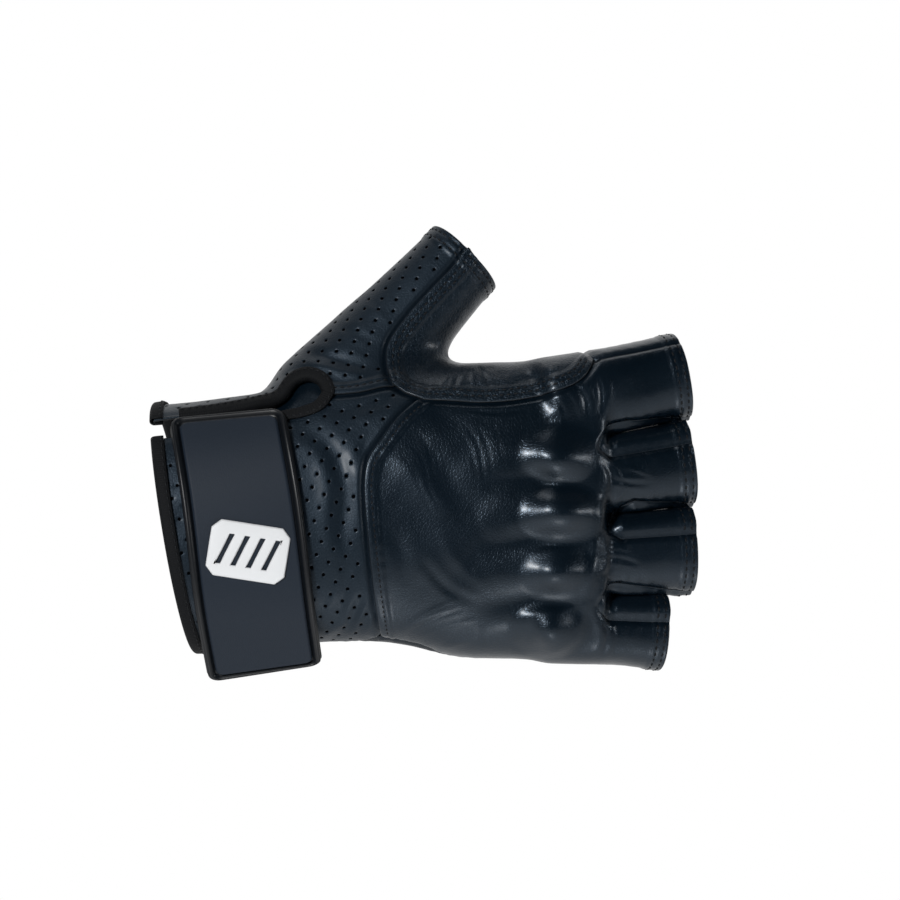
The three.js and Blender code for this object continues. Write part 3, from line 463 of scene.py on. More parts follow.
def finger_runs(i, top, tongue):
    """The seams that bound one finger's back piece and palm piece: top steps over it, tongue along it."""
    finger = FINGERS[i]
    length = finger["length"]
    low, low_root = (-PALM_SEAM, -PALM_SEAM) if i == 3 else (LOW_SEAM, LOW_ROOT)
    high_at = finger["root_high"] if i == 0 else PALM_FORK
    low_at = finger["root_low"] if i == 3 else PALM_FORK
    near = PALM_SEAM if i == 0 else FORK_PALM_SEAM
    far = 360 - (PALM_SEAM if i == 3 else FORK_PALM_SEAM)
    corners = dict(
        back=((finger["root_high"], finger["seam"]), (finger["root_low"], low_root),
              (length, finger["seam"]), (length, low)),
        palm=((high_at, near), (low_at, far), (length, near), (length, far)),
    )
    runs = {}
    for side, (root_high, root_low, rim_high, rim_low) in corners.items():
        runs[f"{side}_root"] = over_finger(i, root_high, root_low, top)
        runs[f"{side}_high"] = over_finger(i, root_high, rim_high, tongue)
        runs[f"{side}_low"] = over_finger(i, root_low, rim_low, tongue)
        runs[f"{side}_rim"] = over_finger(i, rim_high, rim_low, top)
    return runs


def fork_run(i, side, steps, root="back_root"):
    """The rounded seam between two fingers, on the back of the hand or on the palm."""
    first, second = finger_runs(i, 2, 2)[root][-1], finger_runs(i + 1, 2, 2)[root][0]
    return seam([first, FORKS[i][side], second], steps)


print(f"{len(SEAMS)} seams, the longest {max(along_run(run(name, 40))[-1] for name in SEAMS):.0f} mm")

# %% [markdown]
# ## One fine sheet for each piece of leather
#
# A sewn piece is a sheet between four seams. A Coons patch fills such a frame with a grid by blending
# the four runs, and every inner point is then laid on the form. Neighbouring patches of one piece share
# their seam's points, so they weld into one sheet. Leather is then a closed wall: an outer face, an
# inner face a thickness below, and a rounded cut edge between them.

# %% Patches and sheets
RELAX_TURNS, RELAX_STEPS = 5, 10


def patch(low, high, start, end, only=None):
    """low(u) (1 - v) + high(u) v + start(v) (1 - u) + end(v) u, less the same blend of the four corners.
    low and high run the same way, start and end run from low to high. Then the grid is relaxed: each
    inner point goes to the middle of its four neighbours a few times and back to the form."""
    u = np.linspace(0, 1, len(low))[None, :, None]
    v = np.linspace(0, 1, len(start))[:, None, None]
    corners = ((1 - u) * (1 - v) * low[0] + u * (1 - v) * low[-1]
               + (1 - u) * v * high[0] + u * v * high[-1])
    grid = low[None] * (1 - v) + high[None] * v + start[:, None] * (1 - u) + end[:, None] * u - corners
    columns = np.full(len(low), WHOLE) if only is None else np.broadcast_to(only, len(low))
    own = np.broadcast_to(columns, grid.shape[:2])
    inner = np.zeros(grid.shape[:2], bool)
    inner[1:-1, 1:-1] = True
    grid[inner] = by_form(on_form, grid[inner], own[inner])
    for _ in range(RELAX_TURNS if only is None else 0):
        for _ in range(RELAX_STEPS):
            grid[1:-1, 1:-1] = (grid[:-2, 1:-1] + grid[2:, 1:-1] + grid[1:-1, :-2] + grid[1:-1, 2:]) / 4
        grid[inner] = by_form(on_form, grid[inner], own[inner])
    return grid, own


def grid_quads(rows, columns):
    """The quads of a grid of points that are counted row by row."""
    index = np.arange(rows * columns).reshape(rows, columns)
    return np.stack([index[:-1, :-1], index[:-1, 1:], index[1:, 1:], index[1:, :-1]], -1)


def facing_out(points, normals, quads):
    """The same quads, turned round if they face against the normals."""
    a, b, c = (points[quads[:, k]] for k in range(3))
    against = (np.cross(b - a, c - a) * normals[quads[:, 0]]).sum() < 0
    return quads[:, ::-1] if against else quads


def sheet_of(*patches):
    """Welds patches into one sheet whose quads all face out of the form."""
    points, normals, faces, count = [], [], [], 0
    for grid, own in patches:
        flat = grid.reshape(-1, 3)
        normal = by_form(outward, flat, own.ravel())
        points.append(flat)
        normals.append(normal)
        faces.append(facing_out(flat, normal, grid_quads(*grid.shape[:2]).reshape(-1, 4)) + count)
        count += len(flat)
    points, normals = np.vstack(points), np.vstack(normals)
    _, first, welded = np.unique(np.round(points, 3), axis=0, return_index=True, return_inverse=True)
    return points[first], normals[first], welded.reshape(-1)[np.vstack(faces)]


def free_edges(faces, count):
    """Edges of only one face, directed as in that face."""
    start, end = faces.ravel(), np.roll(faces, -1, axis=1).ravel()
    free = ~np.isin(start * count + end, end * count + start)
    return np.stack([start[free], end[free]], 1)


def inward_at(points, normals, edges):
    """Across the free edge into the sheet, at each point of the edge, and zero elsewhere."""
    a, b = edges.T
    across = unit(np.cross(normals[a], points[b] - points[a]))
    pull = np.zeros_like(points)
    np.add.at(pull, a, across)
    np.add.at(pull, b, across)
    return unit(pull) * (np.linalg.norm(pull, axis=1, keepdims=True) > 0)


# %% Meshes from arrays
def point_value(mesh, name, values):
    """Keeps one number at each point, for the materials to ask for."""
    layer = mesh.attributes.new(name, "FLOAT", "POINT")
    layer.data.foreach_set("value", np.asarray(values, float))


def in_scene(name, data):
    """A new object in the scene: a mesh, a light or a camera."""
    item = bpy.data.objects.new(name, data)
    bpy.context.scene.collection.objects.link(item)
    return item


def mesh_object(name, points, faces, uv=None, inside=None):
    """A smooth mesh object from points in mm and arrays of faces with any number of corners each."""
    arrays = [np.asarray(part) for part in (faces if isinstance(faces, list) else [faces])]
    corners = np.concatenate([part.ravel() for part in arrays])
    sizes = np.concatenate([np.full(len(part), part.shape[1]) for part in arrays])
    mesh = bpy.data.meshes.new(name)
    mesh.vertices.add(len(points))
    mesh.vertices.foreach_set("co", (np.asarray(points, float) * MM).ravel())
    mesh.loops.add(len(corners))
    mesh.loops.foreach_set("vertex_index", corners)
    mesh.polygons.add(len(sizes))
    mesh.polygons.foreach_set("loop_start", np.r_[0, np.cumsum(sizes)[:-1]])
    mesh.polygons.foreach_set("use_smooth", np.ones(len(sizes), bool))
    mesh.update(calc_edges=True)
    if uv is not None:
        layer = mesh.uv_layers.new(name="surface_mm")
        layer.data.foreach_set("uv", uv[corners].ravel())
    if inside is not None:
        point_value(mesh, "inside", inside)
    assert not mesh.validate(), name
    return in_scene(name, mesh)


RIM_TURNS = np.array([30, 60, 90, 120, 150]) * DEG
EDGE_ROUND = 0.7


def wall(sheet, thickness, relief, out=0.0, turns=RIM_TURNS):
    """A closed wall from a sheet: outer points are raised by relief, its edge is moved out by out, and
    the cut edge is half an ellipse from the outer face to the inner one, with a row at each turn."""
    points, normals, faces = sheet
    count = len(points)
    edges = free_edges(faces, count)
    inward = inward_at(points, normals, edges)
    half = np.broadcast_to(thickness, count)[:, None] / 2
    shrink = np.broadcast_to(out, count)[:, None] - half * EDGE_ROUND
    outer = points - inward * shrink + normals * relief[:, None]
    inner = outer - normals * 2 * half
    border = np.unique(edges)
    rows, slot_of = [np.arange(count)], np.zeros(count, int)
    slot_of[border] = np.arange(len(border))
    extra = []
    for k, turn in enumerate(turns):
        middle = outer[border] - normals[border] * half[border]
        extra.append(middle + normals[border] * half[border] * math.cos(turn)
                     - inward[border] * half[border] * EDGE_ROUND * math.sin(turn))
        rows.append(2 * count + k * len(border) + slot_of)
    rows.append(np.arange(count) + count)
    a, b = edges.T
    rim = [np.stack([rows[k][b], rows[k][a], rows[k + 1][a], rows[k + 1][b]], 1)
           for k in range(len(rows) - 1)]
    everything = np.vstack([outer, inner, *extra])
    inside = np.r_[np.zeros(count), np.ones(count), np.repeat(np.linspace(0, 1, len(turns)), len(border))]
    return everything, np.vstack([faces, faces[:, ::-1] + count, *rim]), inside, border


def over_wall(flat, border):
    """Flat coordinates of a sheet, given to its wall's outer face, inner face and rim."""
    return np.vstack([flat, flat, *([flat[border]] * len(RIM_TURNS))])


# %% [markdown]
# ## What seams, hems and creases do to leather
#
# Where two pieces are closed together, both dip into the seam. Where one laps over another, its edge
# stands a leather's thickness proud and a row of stitches pulls a groove beside it. A hem is folded, so
# it is thicker and has two rows. All of it is a height over the form that depends only on the distance
# to the seam, so one function of distance serves every piece, and stitches can ask it for their height.

# %% Heights beside seams
def smooth(x, start, end):
    t = np.clip((x - start) / (end - start), 0, 1)
    return t * t * (3 - 2 * t)


def bump(x, middle, width):
    return np.exp(-((x - middle) / width) ** 2)


RUN_PIECE = 1.5


def distance_to(points, run):
    """Distance of points to a run, taken as straight pieces of about RUN_PIECE mm, and the arc length of
    the nearest place."""
    lengths = along_run(run)
    knots = max(int(lengths[-1] / RUN_PIECE), 2)
    places = np.linspace(0, lengths[-1], knots + 1)
    run = np.stack([np.interp(places, lengths, run[:, k]) for k in range(run.shape[1])], 1)
    start, reach = run[:-1], np.diff(run, axis=0)
    square = (reach ** 2).sum(1)
    best, where = np.full(len(points), np.inf), np.zeros(len(points))
    for k in range(len(reach)):
        gap = points - start[k]
        share = np.clip(gap @ reach[k] / square[k], 0, 1)
        distance = np.linalg.norm(gap - share[:, None] * reach[k], axis=1)
        closer = distance < best
        best[closer] = distance[closer]
        where[closer] = places[k] + share[closer] * math.sqrt(square[k])
    return best, where


# Each kind of edge: how far its cut edge is moved out, its height, how far that height goes and where it
# has died out, the distances of its stitch rows, and how strongly it puckers
EDGES = {
    "over": dict(out=0.9, height=0.55, flat=2.2, end=3.6, rows=(1.35,), pucker=0.03),
    "double": dict(out=0.9, height=0.50, flat=3.2, end=4.8, rows=(1.1, 2.9), pucker=0.03),
    "under": dict(out=0.5, height=-0.80, flat=0.9, end=3.2, rows=(), pucker=0.0),
    "closed": dict(out=0.12, height=-0.6, flat=0.0, end=2.0, rows=(), pucker=0.06),
    "hem": dict(out=0.0, height=0.30, flat=4.6, end=6.0, rows=(1.5, 3.9), pucker=0.02),
    "taped": dict(out=-0.1, height=-0.1, flat=1.0, end=3.0, rows=(), pucker=0.0),
}
GROOVE, GROOVE_WIDE = 0.18, 0.5
PUCKER_PITCH, PUCKER_AT, PUCKER_WIDE, PUCKER_DRIFT, DRIFT_PITCH = 4.3, 2.2, 1.6, 1.7, 9.1


def edge_height(kind, distance, along):
    edge = EDGES[kind]
    height = edge["height"] * (1 - smooth(distance, edge["flat"], edge["end"]))
    for row in edge["rows"]:
        height -= GROOVE * bump(distance, row, GROOVE_WIDE)
    ripple = np.sin(2 * math.pi * along / PUCKER_PITCH + PUCKER_DRIFT * np.sin(along / DRIFT_PITCH))
    return height + edge["pucker"] * bump(distance, PUCKER_AT, PUCKER_WIDE) * ripple


# Long soft swells that no real hide is without: direction, wavelength in mm and height
SWELLS = table("x y z wave height",
               (0.9, 0.3, 0.3, 29.0, 0.08), (-0.4, 0.2, 0.9, 21.0, 0.07), (0.7, -0.4, -0.6, 15.5, 0.05),
               (0.2, 0.9, -0.5, 17.0, 0.04), (-0.8, 0.1, 0.6, 9.7, 0.02), (0.5, 0.5, 0.7, 7.3, 0.012))
SWELL_DRIFT, SWELL_SLOW = 1.3, 0.37


def swell(points):
    height = np.zeros(len(points))
    for x, y, z, wave, top in zip(*SWELLS.values()):
        phase = 2 * math.pi / wave * (points @ np.array([x, y, z]))
        height += top * np.sin(phase + SWELL_DRIFT * np.sin(SWELL_SLOW * phase))
    return height


CREASE_STEPS, CREASE_REACH, CREASE_TIP, CREASE_TAPER = 16, 3.5, 0.02, 0.6
SHOULDER, SHOULDER_AT = 0.45, 1.9


def crease_height(points, normals, creases):
    """Ridges (height over 0) and valleys on the back of the hand: a bell curve across each line, which
    fades towards both its ends. A valley has a low shoulder on either side."""
    height = np.zeros(len(points))
    seen = np.where(normals[:, 1] < 0, np.sqrt(np.abs(normals[:, 1])), 0)
    flat = points[:, [0, 2]]
    for width, tall, *places in creases:
        line = np.array(places, float)
        if len(line) > 2:
            line = smooth_run(line, CREASE_STEPS)
        reach = CREASE_REACH * width
        near = ((flat > line.min(0) - reach) & (flat < line.max(0) + reach)).all(1) & (seen > 0)
        if not near.any():
            continue
        distance, along = distance_to(flat[near], line)
        length = along_run(line)[-1]
        taper = np.sin(math.pi * np.clip(along / length, CREASE_TIP, 1 - CREASE_TIP)) ** CREASE_TAPER
        across = bump(distance, 0, width)
        if tall < 0:
            across -= SHOULDER * bump(distance, SHOULDER_AT * width, width)
        height[near] += tall * across * taper * seen[near]
    return height


# %% Building one piece
PIECES = {}
LEATHER, EDGE_NEAR = 1.2, 1.2


def leather_piece(name, sheet, edges, thickness=LEATHER, creases=(), lift=None, extra=None, uv=None):
    """Makes the wall of one piece. edges are (kind, run) pairs. Its height function is kept, so that
    stitches can be set on it."""
    def relief(points, normals):
        height = swell(points) + crease_height(points, normals, creases)
        for kind, line in edges:
            height += edge_height(kind, *distance_to(points, line))
        return height if lift is None else height + lift(points)

    points, normals, faces = sheet
    height = relief(points, normals)
    if extra is not None:
        height = height + extra
    weights, out = np.full(len(points), 1e-9), np.zeros(len(points))
    for kind, line in edges:
        near = bump(distance_to(points, line)[0], 0, EDGE_NEAR)
        weights += near
        out += near * EDGES[kind]["out"]
    everything, quads, inside, border = wall(sheet, thickness, height, out / weights)
    item = mesh_object(name, everything, quads, None if uv is None else over_wall(uv, border), inside)
    inward = inward_at(points, normals, free_edges(faces, len(points)))
    PIECES[name] = dict(relief=relief, border=points[border], inward=inward[border])
    print(f"{name}: {len(quads) * 2} triangles, height {height.min():.2f} to {height.max():.2f} mm")
    return item


def dressed(item, node, material):
    """Puts a piece in the place of its CAD node."""
    item.data.materials.append(material)
    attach(item, "root")
    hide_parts(node)


# %% [markdown]
# ## The back of the hand
#
# This is the piece that the photograph shows best: one smooth hide from the edge of the wrist panel to
# the tips of the four stalls, stretched over the knuckles. Its wrinkles are few and belong to the
# pose, so they are a short table of ridges and valleys, each with its width, its height and the places
# on the back of the hand that it runs through, rather than a noise that would put them anywhere.

# %% Creases of the back panel
BACK_CREASES = [
    # one broad soft fold from the thumb side down the hand, and fine long wrinkles beside it
    (3.6, 0.55, (66.0, 23.0), (74.0, 15.0), (85.0, 4.0)),
    (3.2, -0.30, (71.0, 31.0), (80.0, 22.0), (90.0, 8.0)),
    (0.55, -0.10, (74.1, 31.5), (78.1, 24.4), (79.7, 16.6), (84.4, 8.4)),
    (0.50, -0.08, (76.0, 30.0), (80.0, 23.0), (81.5, 15.6), (86.4, 7.4)),
    (0.50, -0.08, (72.0, 27.0), (76.2, 21.4), (77.7, 13.6), (81.4, 6.4)),
    (0.50, -0.07, (69.5, 24.0), (73.2, 18.4), (75.7, 11.6), (79.4, 4.4)),
    (0.60, -0.10, (89.4, 32.5), (93.1, 26.3), (95.0, 14.7)),
    (0.50, -0.07, (87.0, 31.5), (91.0, 24.3), (93.0, 13.7)),
    (0.50, -0.07, (92.5, 33.5), (96.0, 26.3), (97.6, 15.7)),
    (0.50, -0.06, (97.5, 34.5), (99.5, 27.0), (101.5, 18.5)),
    (2.4, -0.25, (66.5, 2.0), (69.0, -6.0), (71.0, -18.0)),
    (2.2, 0.22, (81.5, 1.0), (86.0, -9.0), (95.0, -17.0)),
    # streaks over the little-finger side
    (1.6, 0.35, (67.8, -32.2), (74.4, -28.4), (84.1, -24.1)),
    (0.6, 0.12, (70.5, -29.6), (77.0, -25.4), (86.0, -21.4)),
    (0.6, -0.12, (71.5, -31.6), (78.0, -27.9), (88.0, -24.4)),
    (0.6, 0.12, (75.5, -33.0), (83.0, -29.9), (93.0, -27.4)),
    (1.2, 0.25, (81.6, -36.6), (91.3, -33.8)),
    (1.4, -0.18, (76.0, -9.0), (83.0, -17.5), (93.0, -22.5)),
    (1.8, 0.35, (103.1, -39.1), (117.5, -37.5), (124.1, -32.8)),
    # between the domes
    (3.0, -0.50, (93.0, 14.0), (102.0, 14.8), (112.0, 15.6), (121.0, 14.0), (129.0, 12.0)),
    (3.0, -0.45, (93.0, -5.6), (102.0, -4.0), (113.0, -2.0), (123.0, -0.8), (129.0, 1.5)),
    (3.0, -0.45, (92.0, -24.0), (101.0, -22.0), (112.0, -20.0), (120.0, -19.6), (126.0, -17.0)),
    # the domes run out towards the wrist as low ridges
    (4.4, 0.55, (95.0, 24.0), (104.0, 24.8), (113.0, 25.2), (119.0, 25.4)),
    (4.4, 0.60, (92.0, 3.8), (102.0, 5.6), (112.0, 6.8), (119.0, 7.2)),
    (4.4, 0.60, (91.0, -15.2), (101.0, -13.2), (111.0, -12.0), (118.0, -11.4)),
    (4.0, 0.45, (93.0, -30.5), (102.0, -29.4), (110.0, -28.2), (116.0, -27.6)),
    (1.9, 0.40, (105.6, -7.2), (116.0, -6.4), (124.7, -4.4), (128.1, -1.5)),
    (1.9, 0.40, (105.6, -26.2), (116.0, -25.4), (122.0, -23.6), (126.3, -19.9)),
    # the ridge in front of the knuckles and the folds where the fingers start
    (1.5, 0.60, (130.0, 10.5), (130.6, 5.0), (129.4, -2.0), (128.4, -14.4), (123.8, -33.4)),
    (1.2, -0.35, (133.5, 12.0), (134.6, 6.5), (133.0, -0.5)),
    (0.9, 0.22, (134.5, 21.0), (136.8, 17.0), (137.0, 12.0)),
    (0.9, -0.28, (131.6, 22.0), (134.4, 17.0), (134.0, 11.3)),
    (0.9, 0.22, (136.6, 19.9), (142.0, 19.0), (147.5, 17.1)),
    (0.8, -0.18, (134.5, 15.8), (141.0, 14.6), (147.0, 14.4)),
    (0.8, 0.18, (133.0, -4.9), (138.0, -5.6), (142.5, -7.5)),
    (0.8, -0.18, (132.0, -8.5), (137.5, -9.0), (143.0, -10.5)),
    (0.9, -0.28, (131.0, -15.0), (134.0, -12.5), (135.0, -7.0)),
    # the crumple at the index finger's base
    (0.8, 0.28, (120.0, 44.5), (123.5, 40.5), (125.0, 35.0)),
    (0.7, -0.28, (122.5, 46.0), (126.0, 41.5), (127.0, 35.5)),
    (0.8, 0.28, (126.5, 46.5), (128.6, 41.0), (129.0, 35.0)),
    (0.7, -0.28, (130.2, 47.5), (131.4, 42.0), (131.0, 36.0)),
    (0.8, 0.22, (133.6, 48.0), (134.0, 42.0), (133.0, 35.5)),
    (0.6, -0.15, (116.5, 41.5), (119.5, 37.5), (120.5, 33.0)),
    # the little finger's base
    (0.8, 0.25, (129.4, -27.0), (131.0, -32.0), (129.4, -38.5)),
    (0.7, -0.28, (131.9, -27.5), (133.4, -33.0), (131.9, -39.0)),
    (0.7, 0.20, (134.6, -28.0), (135.6, -33.0), (134.5, -38.0)),
    # near the web's seam
    (0.7, -0.12, (90.0, 37.5), (99.0, 36.5), (108.0, 37.5)),
    (1.0, 0.15, (106.0, 33.0), (113.0, 34.8), (118.0, 37.5)),
]

# %% Back panel
FINE = 1.0


def fine(steps):
    return max(int(round(steps * FINE)), 3)


def finger_end(parts, forks, side):
    """The seam along a panel's finger end: each finger's root and the forks between them."""
    runs = [parts[0][f"{side}_root"]]
    for fork, part in zip(forks, parts[1:]):
        runs += [fork, part[f"{side}_root"]]
    return joined(*runs)


def stall_patches(parts, side):
    """The part of a panel that covers one side of each finger."""
    return [patch(*(part[f"{side}_{seam_name}"] for seam_name in ("root", "rim", "high", "low")), i)
            for i, part in enumerate(parts)]


def stall_edges(parts, forks, side):
    """The edges of those parts, and of the forks between them."""
    edges = []
    for part in parts:
        edges += [("closed", part[f"{side}_high"]), ("closed", part[f"{side}_low"]),
                  ("hem", part[f"{side}_rim"])]
    return edges + [("closed", fork) for fork in forks]


TOP, FORK, TONGUE, LONG = fine(40), fine(20), fine(56), fine(110)
finger_parts = [finger_runs(i, TOP, TONGUE) for i in range(4)]
fork_parts = [fork_run(i, "round", FORK) for i in range(3)]
body = patch(run("web_right", LONG), run("panel_bottom", LONG), run("panel_left", 4 * TOP + 3 * FORK),
             finger_end(finger_parts, fork_parts, "back"))
back_edges = [("under", run("web_right", 60)), ("over", run("panel_left", 90)),
              ("closed", run("panel_bottom", 60)), *stall_edges(finger_parts, fork_parts, "back")]
back_panel = leather_piece("smooth_back", sheet_of(body, *stall_patches(finger_parts, "back")),
                           back_edges, creases=BACK_CREASES)

# %% [markdown]
# ## The web and the strips between the fingers
#
# The web panel runs from the thumb to the index finger and laps over its neighbours with a double row
# of stitches. The strips that line the gaps between the fingers are one narrow piece each, down one
# finger, round the fork and up the next. They are the same kind of sheet, on each finger's own form.

# %% Web panel
WEB_CREASES = [
    (0.8, 0.20, (86.3, 53.1), (84.0, 48.5), (81.0, 44.5)),
    (0.7, -0.18, (88.5, 53.5), (87.0, 48.5), (85.5, 44.0)),
    (0.7, 0.18, (90.8, 52.5), (91.5, 48.5), (91.5, 44.0)),
    (0.7, -0.18, (93.0, 51.5), (95.0, 48.0), (97.0, 44.5)),
    (0.7, 0.16, (95.9, 50.0), (99.0, 47.5), (103.0, 45.8)),
    (1.8, 0.40, (80.0, 56.5), (84.0, 57.5), (89.0, 57.0)),
    (1.6, -0.25, (73.0, 52.0), (79.0, 52.0), (84.0, 54.0)),
    (0.7, 0.22, (88.5, 62.0), (93.0, 60.0), (96.0, 56.5)),
    (0.6, -0.22, (87.0, 64.0), (92.0, 62.4), (95.0, 59.4)),
    (0.6, 0.20, (86.0, 66.0), (91.0, 64.5), (95.0, 62.0)),
    (0.6, -0.20, (86.0, 68.0), (91.0, 66.8), (95.0, 64.8)),
    (0.6, 0.20, (86.5, 70.0), (91.5, 69.0), (95.5, 67.5)),
    (0.6, -0.18, (87.5, 74.0), (92.5, 73.5), (96.5, 72.0)),
    (0.7, 0.16, (108.0, 50.0), (114.0, 50.5), (120.0, 52.0)),
    (0.8, -0.18, (104.0, 47.0), (112.0, 47.6), (119.0, 49.6)),
]
SIDE = fine(112)
under_left = int(SIDE * 2 / 15)
end_steps = int(SIDE * 0.2), int(SIDE * 0.4)
web_low = joined(run("web_left", under_left), run("web_right", SIDE - under_left))
index_end = on_finger(0, FINGERS[0]["root_high"], angles(FINGERS[0]["seam"], PALM_SEAM, end_steps[0]))
web_end = joined(index_end, run("web_under", end_steps[1]),
                 run("thumb_inner", SIDE - end_steps[0] - end_steps[1]))
web_rim = thumb_rim(THUMB_WEB_SEAM, -THUMB_PALM_SEAM, SIDE)
thumb_back_run = run("thumb_back", SIDE)
web_edges = [("double", web_low), ("double", thumb_back_run), ("hem", web_rim), ("closed", index_end),
             ("closed", run("web_under", 40)), ("closed", run("thumb_inner", 40))]
web_panel = leather_piece("web", sheet_of(patch(web_low, web_rim, thumb_back_run, web_end)), web_edges,
                          creases=WEB_CREASES)

# %% Strips of the fingers
STALL, GAP, DEEP = fine(46), fine(24), fine(22)
side_parts = [finger_runs(i, DEEP, STALL) for i in range(4)]
INDEX_CREASES = [
    (0.8, 0.35, (126.5, 50.5), (126.0, 54.5)),
    (0.8, -0.35, (129.5, 50.5), (129.5, 54.5)),
    (0.8, 0.30, (132.5, 51.0), (132.5, 55.0)),
    (0.8, -0.30, (136.0, 51.5), (136.5, 55.5)),
]
index_root = on_finger(0, FINGERS[0]["root_high"], angles(FINGERS[0]["seam"], PALM_SEAM, DEEP))
index_rim = on_finger(0, FINGERS[0]["length"], angles(FINGERS[0]["seam"], PALM_SEAM, DEEP))
index_strip = leather_piece(
    "index_strip",
    sheet_of(patch(side_parts[0]["back_high"], side_parts[0]["palm_high"], index_root, index_rim, 0)),
    [("closed", side_parts[0]["back_high"]), ("closed", side_parts[0]["palm_high"]),
     ("closed", index_root), ("hem", index_rim)],
    creases=INDEX_CREASES,
)


GAP_BULGE, GAP_HAIR, BULGE_START, BULGE_FULL = 1.5, 0.03, 0.5, 3.5


def gap_strip(i, name):
    """The strip of the gap after finger i: down that finger, round the fork and up the next."""
    one, two = side_parts[i], side_parts[i + 1]
    back_fork, palm_fork = fork_run(i, "round", GAP), fork_run(i, "palm", GAP, "palm_root")
    back = joined(one["back_low"][::-1], back_fork, two["back_high"])
    palm = joined(one["palm_low"][::-1], palm_fork, two["palm_high"])
    near = on_finger(i, FINGERS[i]["length"], angles(LOW_SEAM, -FORK_PALM_SEAM, DEEP))
    far = on_finger(i + 1, FINGERS[i + 1]["length"], angles(FINGERS[i + 1]["seam"], FORK_PALM_SEAM, DEEP))
    column = np.arange(len(back))
    only = np.where(column <= STALL, i, np.where(column >= STALL + GAP, i + 1, WHOLE))

    def bulge(points):
        """The two sides fill the gap up to a hair, half each, but not beside their seams."""
        gap = np.maximum(form(points, i), form(points, i + 1))
        room = np.clip(gap / 2 - GAP_HAIR, 0, GAP_BULGE)
        beside = np.minimum(distance_to(points, back)[0], distance_to(points, palm)[0])
        return room * smooth(beside, BULGE_START, BULGE_FULL)

    return leather_piece(name, sheet_of(patch(back, palm, near, far, only)),
                         [("closed", back), ("closed", palm), ("hem", near), ("hem", far)], thickness=0.9,
                         lift=bulge)


gap_strips = [gap_strip(i, name) for i, name in enumerate(("gap_strip_1", "gap_strip_2", "gap_strip_3"))]

# %% [markdown]
# ## Perforated leather
#
# The wrist and the back of the thumb are punched with rows of small holes that let air through. A
# real hole is cut in flat leather before the glove is sewn, so the rows stay even on the curved piece.
# For that the sheet is unwrapped like the tanner's flat piece, and the unwrap is turned and scaled to
# real millimetres. The same lattice then serves twice: each hole is a pit in the mesh, and the material
# paints the shade down it as a near-black disc with a crisp round edge.

# %% Flattening and punching
CAMERA_SIDE = 0.6


def flattened(sheet):
    """Flat coordinates in mm of a sheet: a conformal unwrap, then the turn, scale and shift that fit it
    best to the places (x, z) of the part that faces the camera."""
    points, normals, faces = sheet
    item = mesh_object("flat_piece", points, faces)
    item.data.uv_layers.new(name="flat")
    bpy.context.view_layer.objects.active = item
    item.select_set(True)
    bpy.ops.object.mode_set(mode="EDIT")
    bpy.ops.mesh.select_all(action="SELECT")
    bpy.ops.uv.unwrap(method="CONFORMAL", margin=0.0)
    bpy.ops.object.mode_set(mode="OBJECT")
    loops = np.empty(len(faces) * 4, int)
    item.data.loops.foreach_get("vertex_index", loops)
    corners = np.empty(len(faces) * 8)
    item.data.uv_layers["flat"].data.foreach_get("uv", corners)
    uv = np.zeros((len(points), 2))
    uv[loops] = corners.reshape(-1, 2)
    mesh = item.data
    bpy.data.objects.remove(item)
    bpy.data.meshes.remove(mesh)
    front = normals[:, 1] < -CAMERA_SIDE
    flat = uv[front] @ np.array([1, 1j])
    target = points[front][:, [0, 2]] @ np.array([1, 1j])
    spread, wanted = flat - flat.mean(), target - target.mean()
    plain, mirrored = (wanted * spread.conj()).sum(), (wanted * spread).sum()
    place = uv @ np.array([1, 1j])
    if abs(mirrored) > abs(plain):
        place, flat, spread, plain = place.conj(), flat.conj(), spread.conj(), mirrored
    factor = plain / (abs(spread) ** 2).sum()
    placed = factor * (place - flat.mean()) + target.mean()
    a, b = faces[:, 0], faces[:, 2]
    stretch = np.abs(placed[b] - placed[a]) / np.linalg.norm(points[b] - points[a], axis=1)
    print(f"flattened {len(points)} points, scale {np.median(stretch):.3f}")
    placed = placed / np.median(stretch)
    return np.stack([placed.real, placed.imag], 1)


HOLE, HOLE_DEEP, HOLE_CLEAR, HOLE_FOUND = 0.52, 0.4, 3.4, 0.5
# Inside HOLE_DARK a hole's painted shade is full, and past HOLE_EDGE it is gone.
HOLE_FLOOR, HOLE_DARK, HOLE_EDGE = HOLE * 0.55, HOLE * 0.95, HOLE * 1.15


def punched(sheet, uv, lattice, edges):
    """Depth of the holes at each point, with no hole nearer than HOLE_CLEAR to an edge. Row i, column j
    of the lattice is at i * lattice[0] + j * lattice[1]. Returns the depths and, for the material,
    whether each point's nearest hole is punched."""
    steps = np.array(lattice, float)
    cell = uv @ np.linalg.inv(steps)
    nearest = np.round(cell)
    away = np.linalg.norm((cell - nearest) @ steps, axis=1)
    clear = np.min([distance_to(sheet[0], line)[0] for _, line in edges], axis=0)
    _, inverse = np.unique(nearest, axis=0, return_inverse=True)
    inverse = inverse.reshape(-1)
    order = np.lexsort((away, inverse))
    first = order[np.unique(inverse[order], return_index=True)[1]]
    open_hole = (clear[first] > HOLE_CLEAR) & (away[first] < HOLE_FOUND)
    keep = open_hole[inverse]
    depth = np.where(keep, HOLE_DEEP * (1 - smooth(away, HOLE_FLOOR, HOLE_EDGE)), 0)
    print(f"{int(open_hole.sum())} holes")
    return -depth, keep.astype(float)


def mark_punched(panel, sheet, keep):
    """Tells the material which points belong to a hole: on both faces of the wall, not on its rim."""
    border = np.unique(free_edges(sheet[2], len(keep)))
    point_value(panel.data, "punched", np.r_[keep, keep, np.zeros(len(border) * len(RIM_TURNS))])


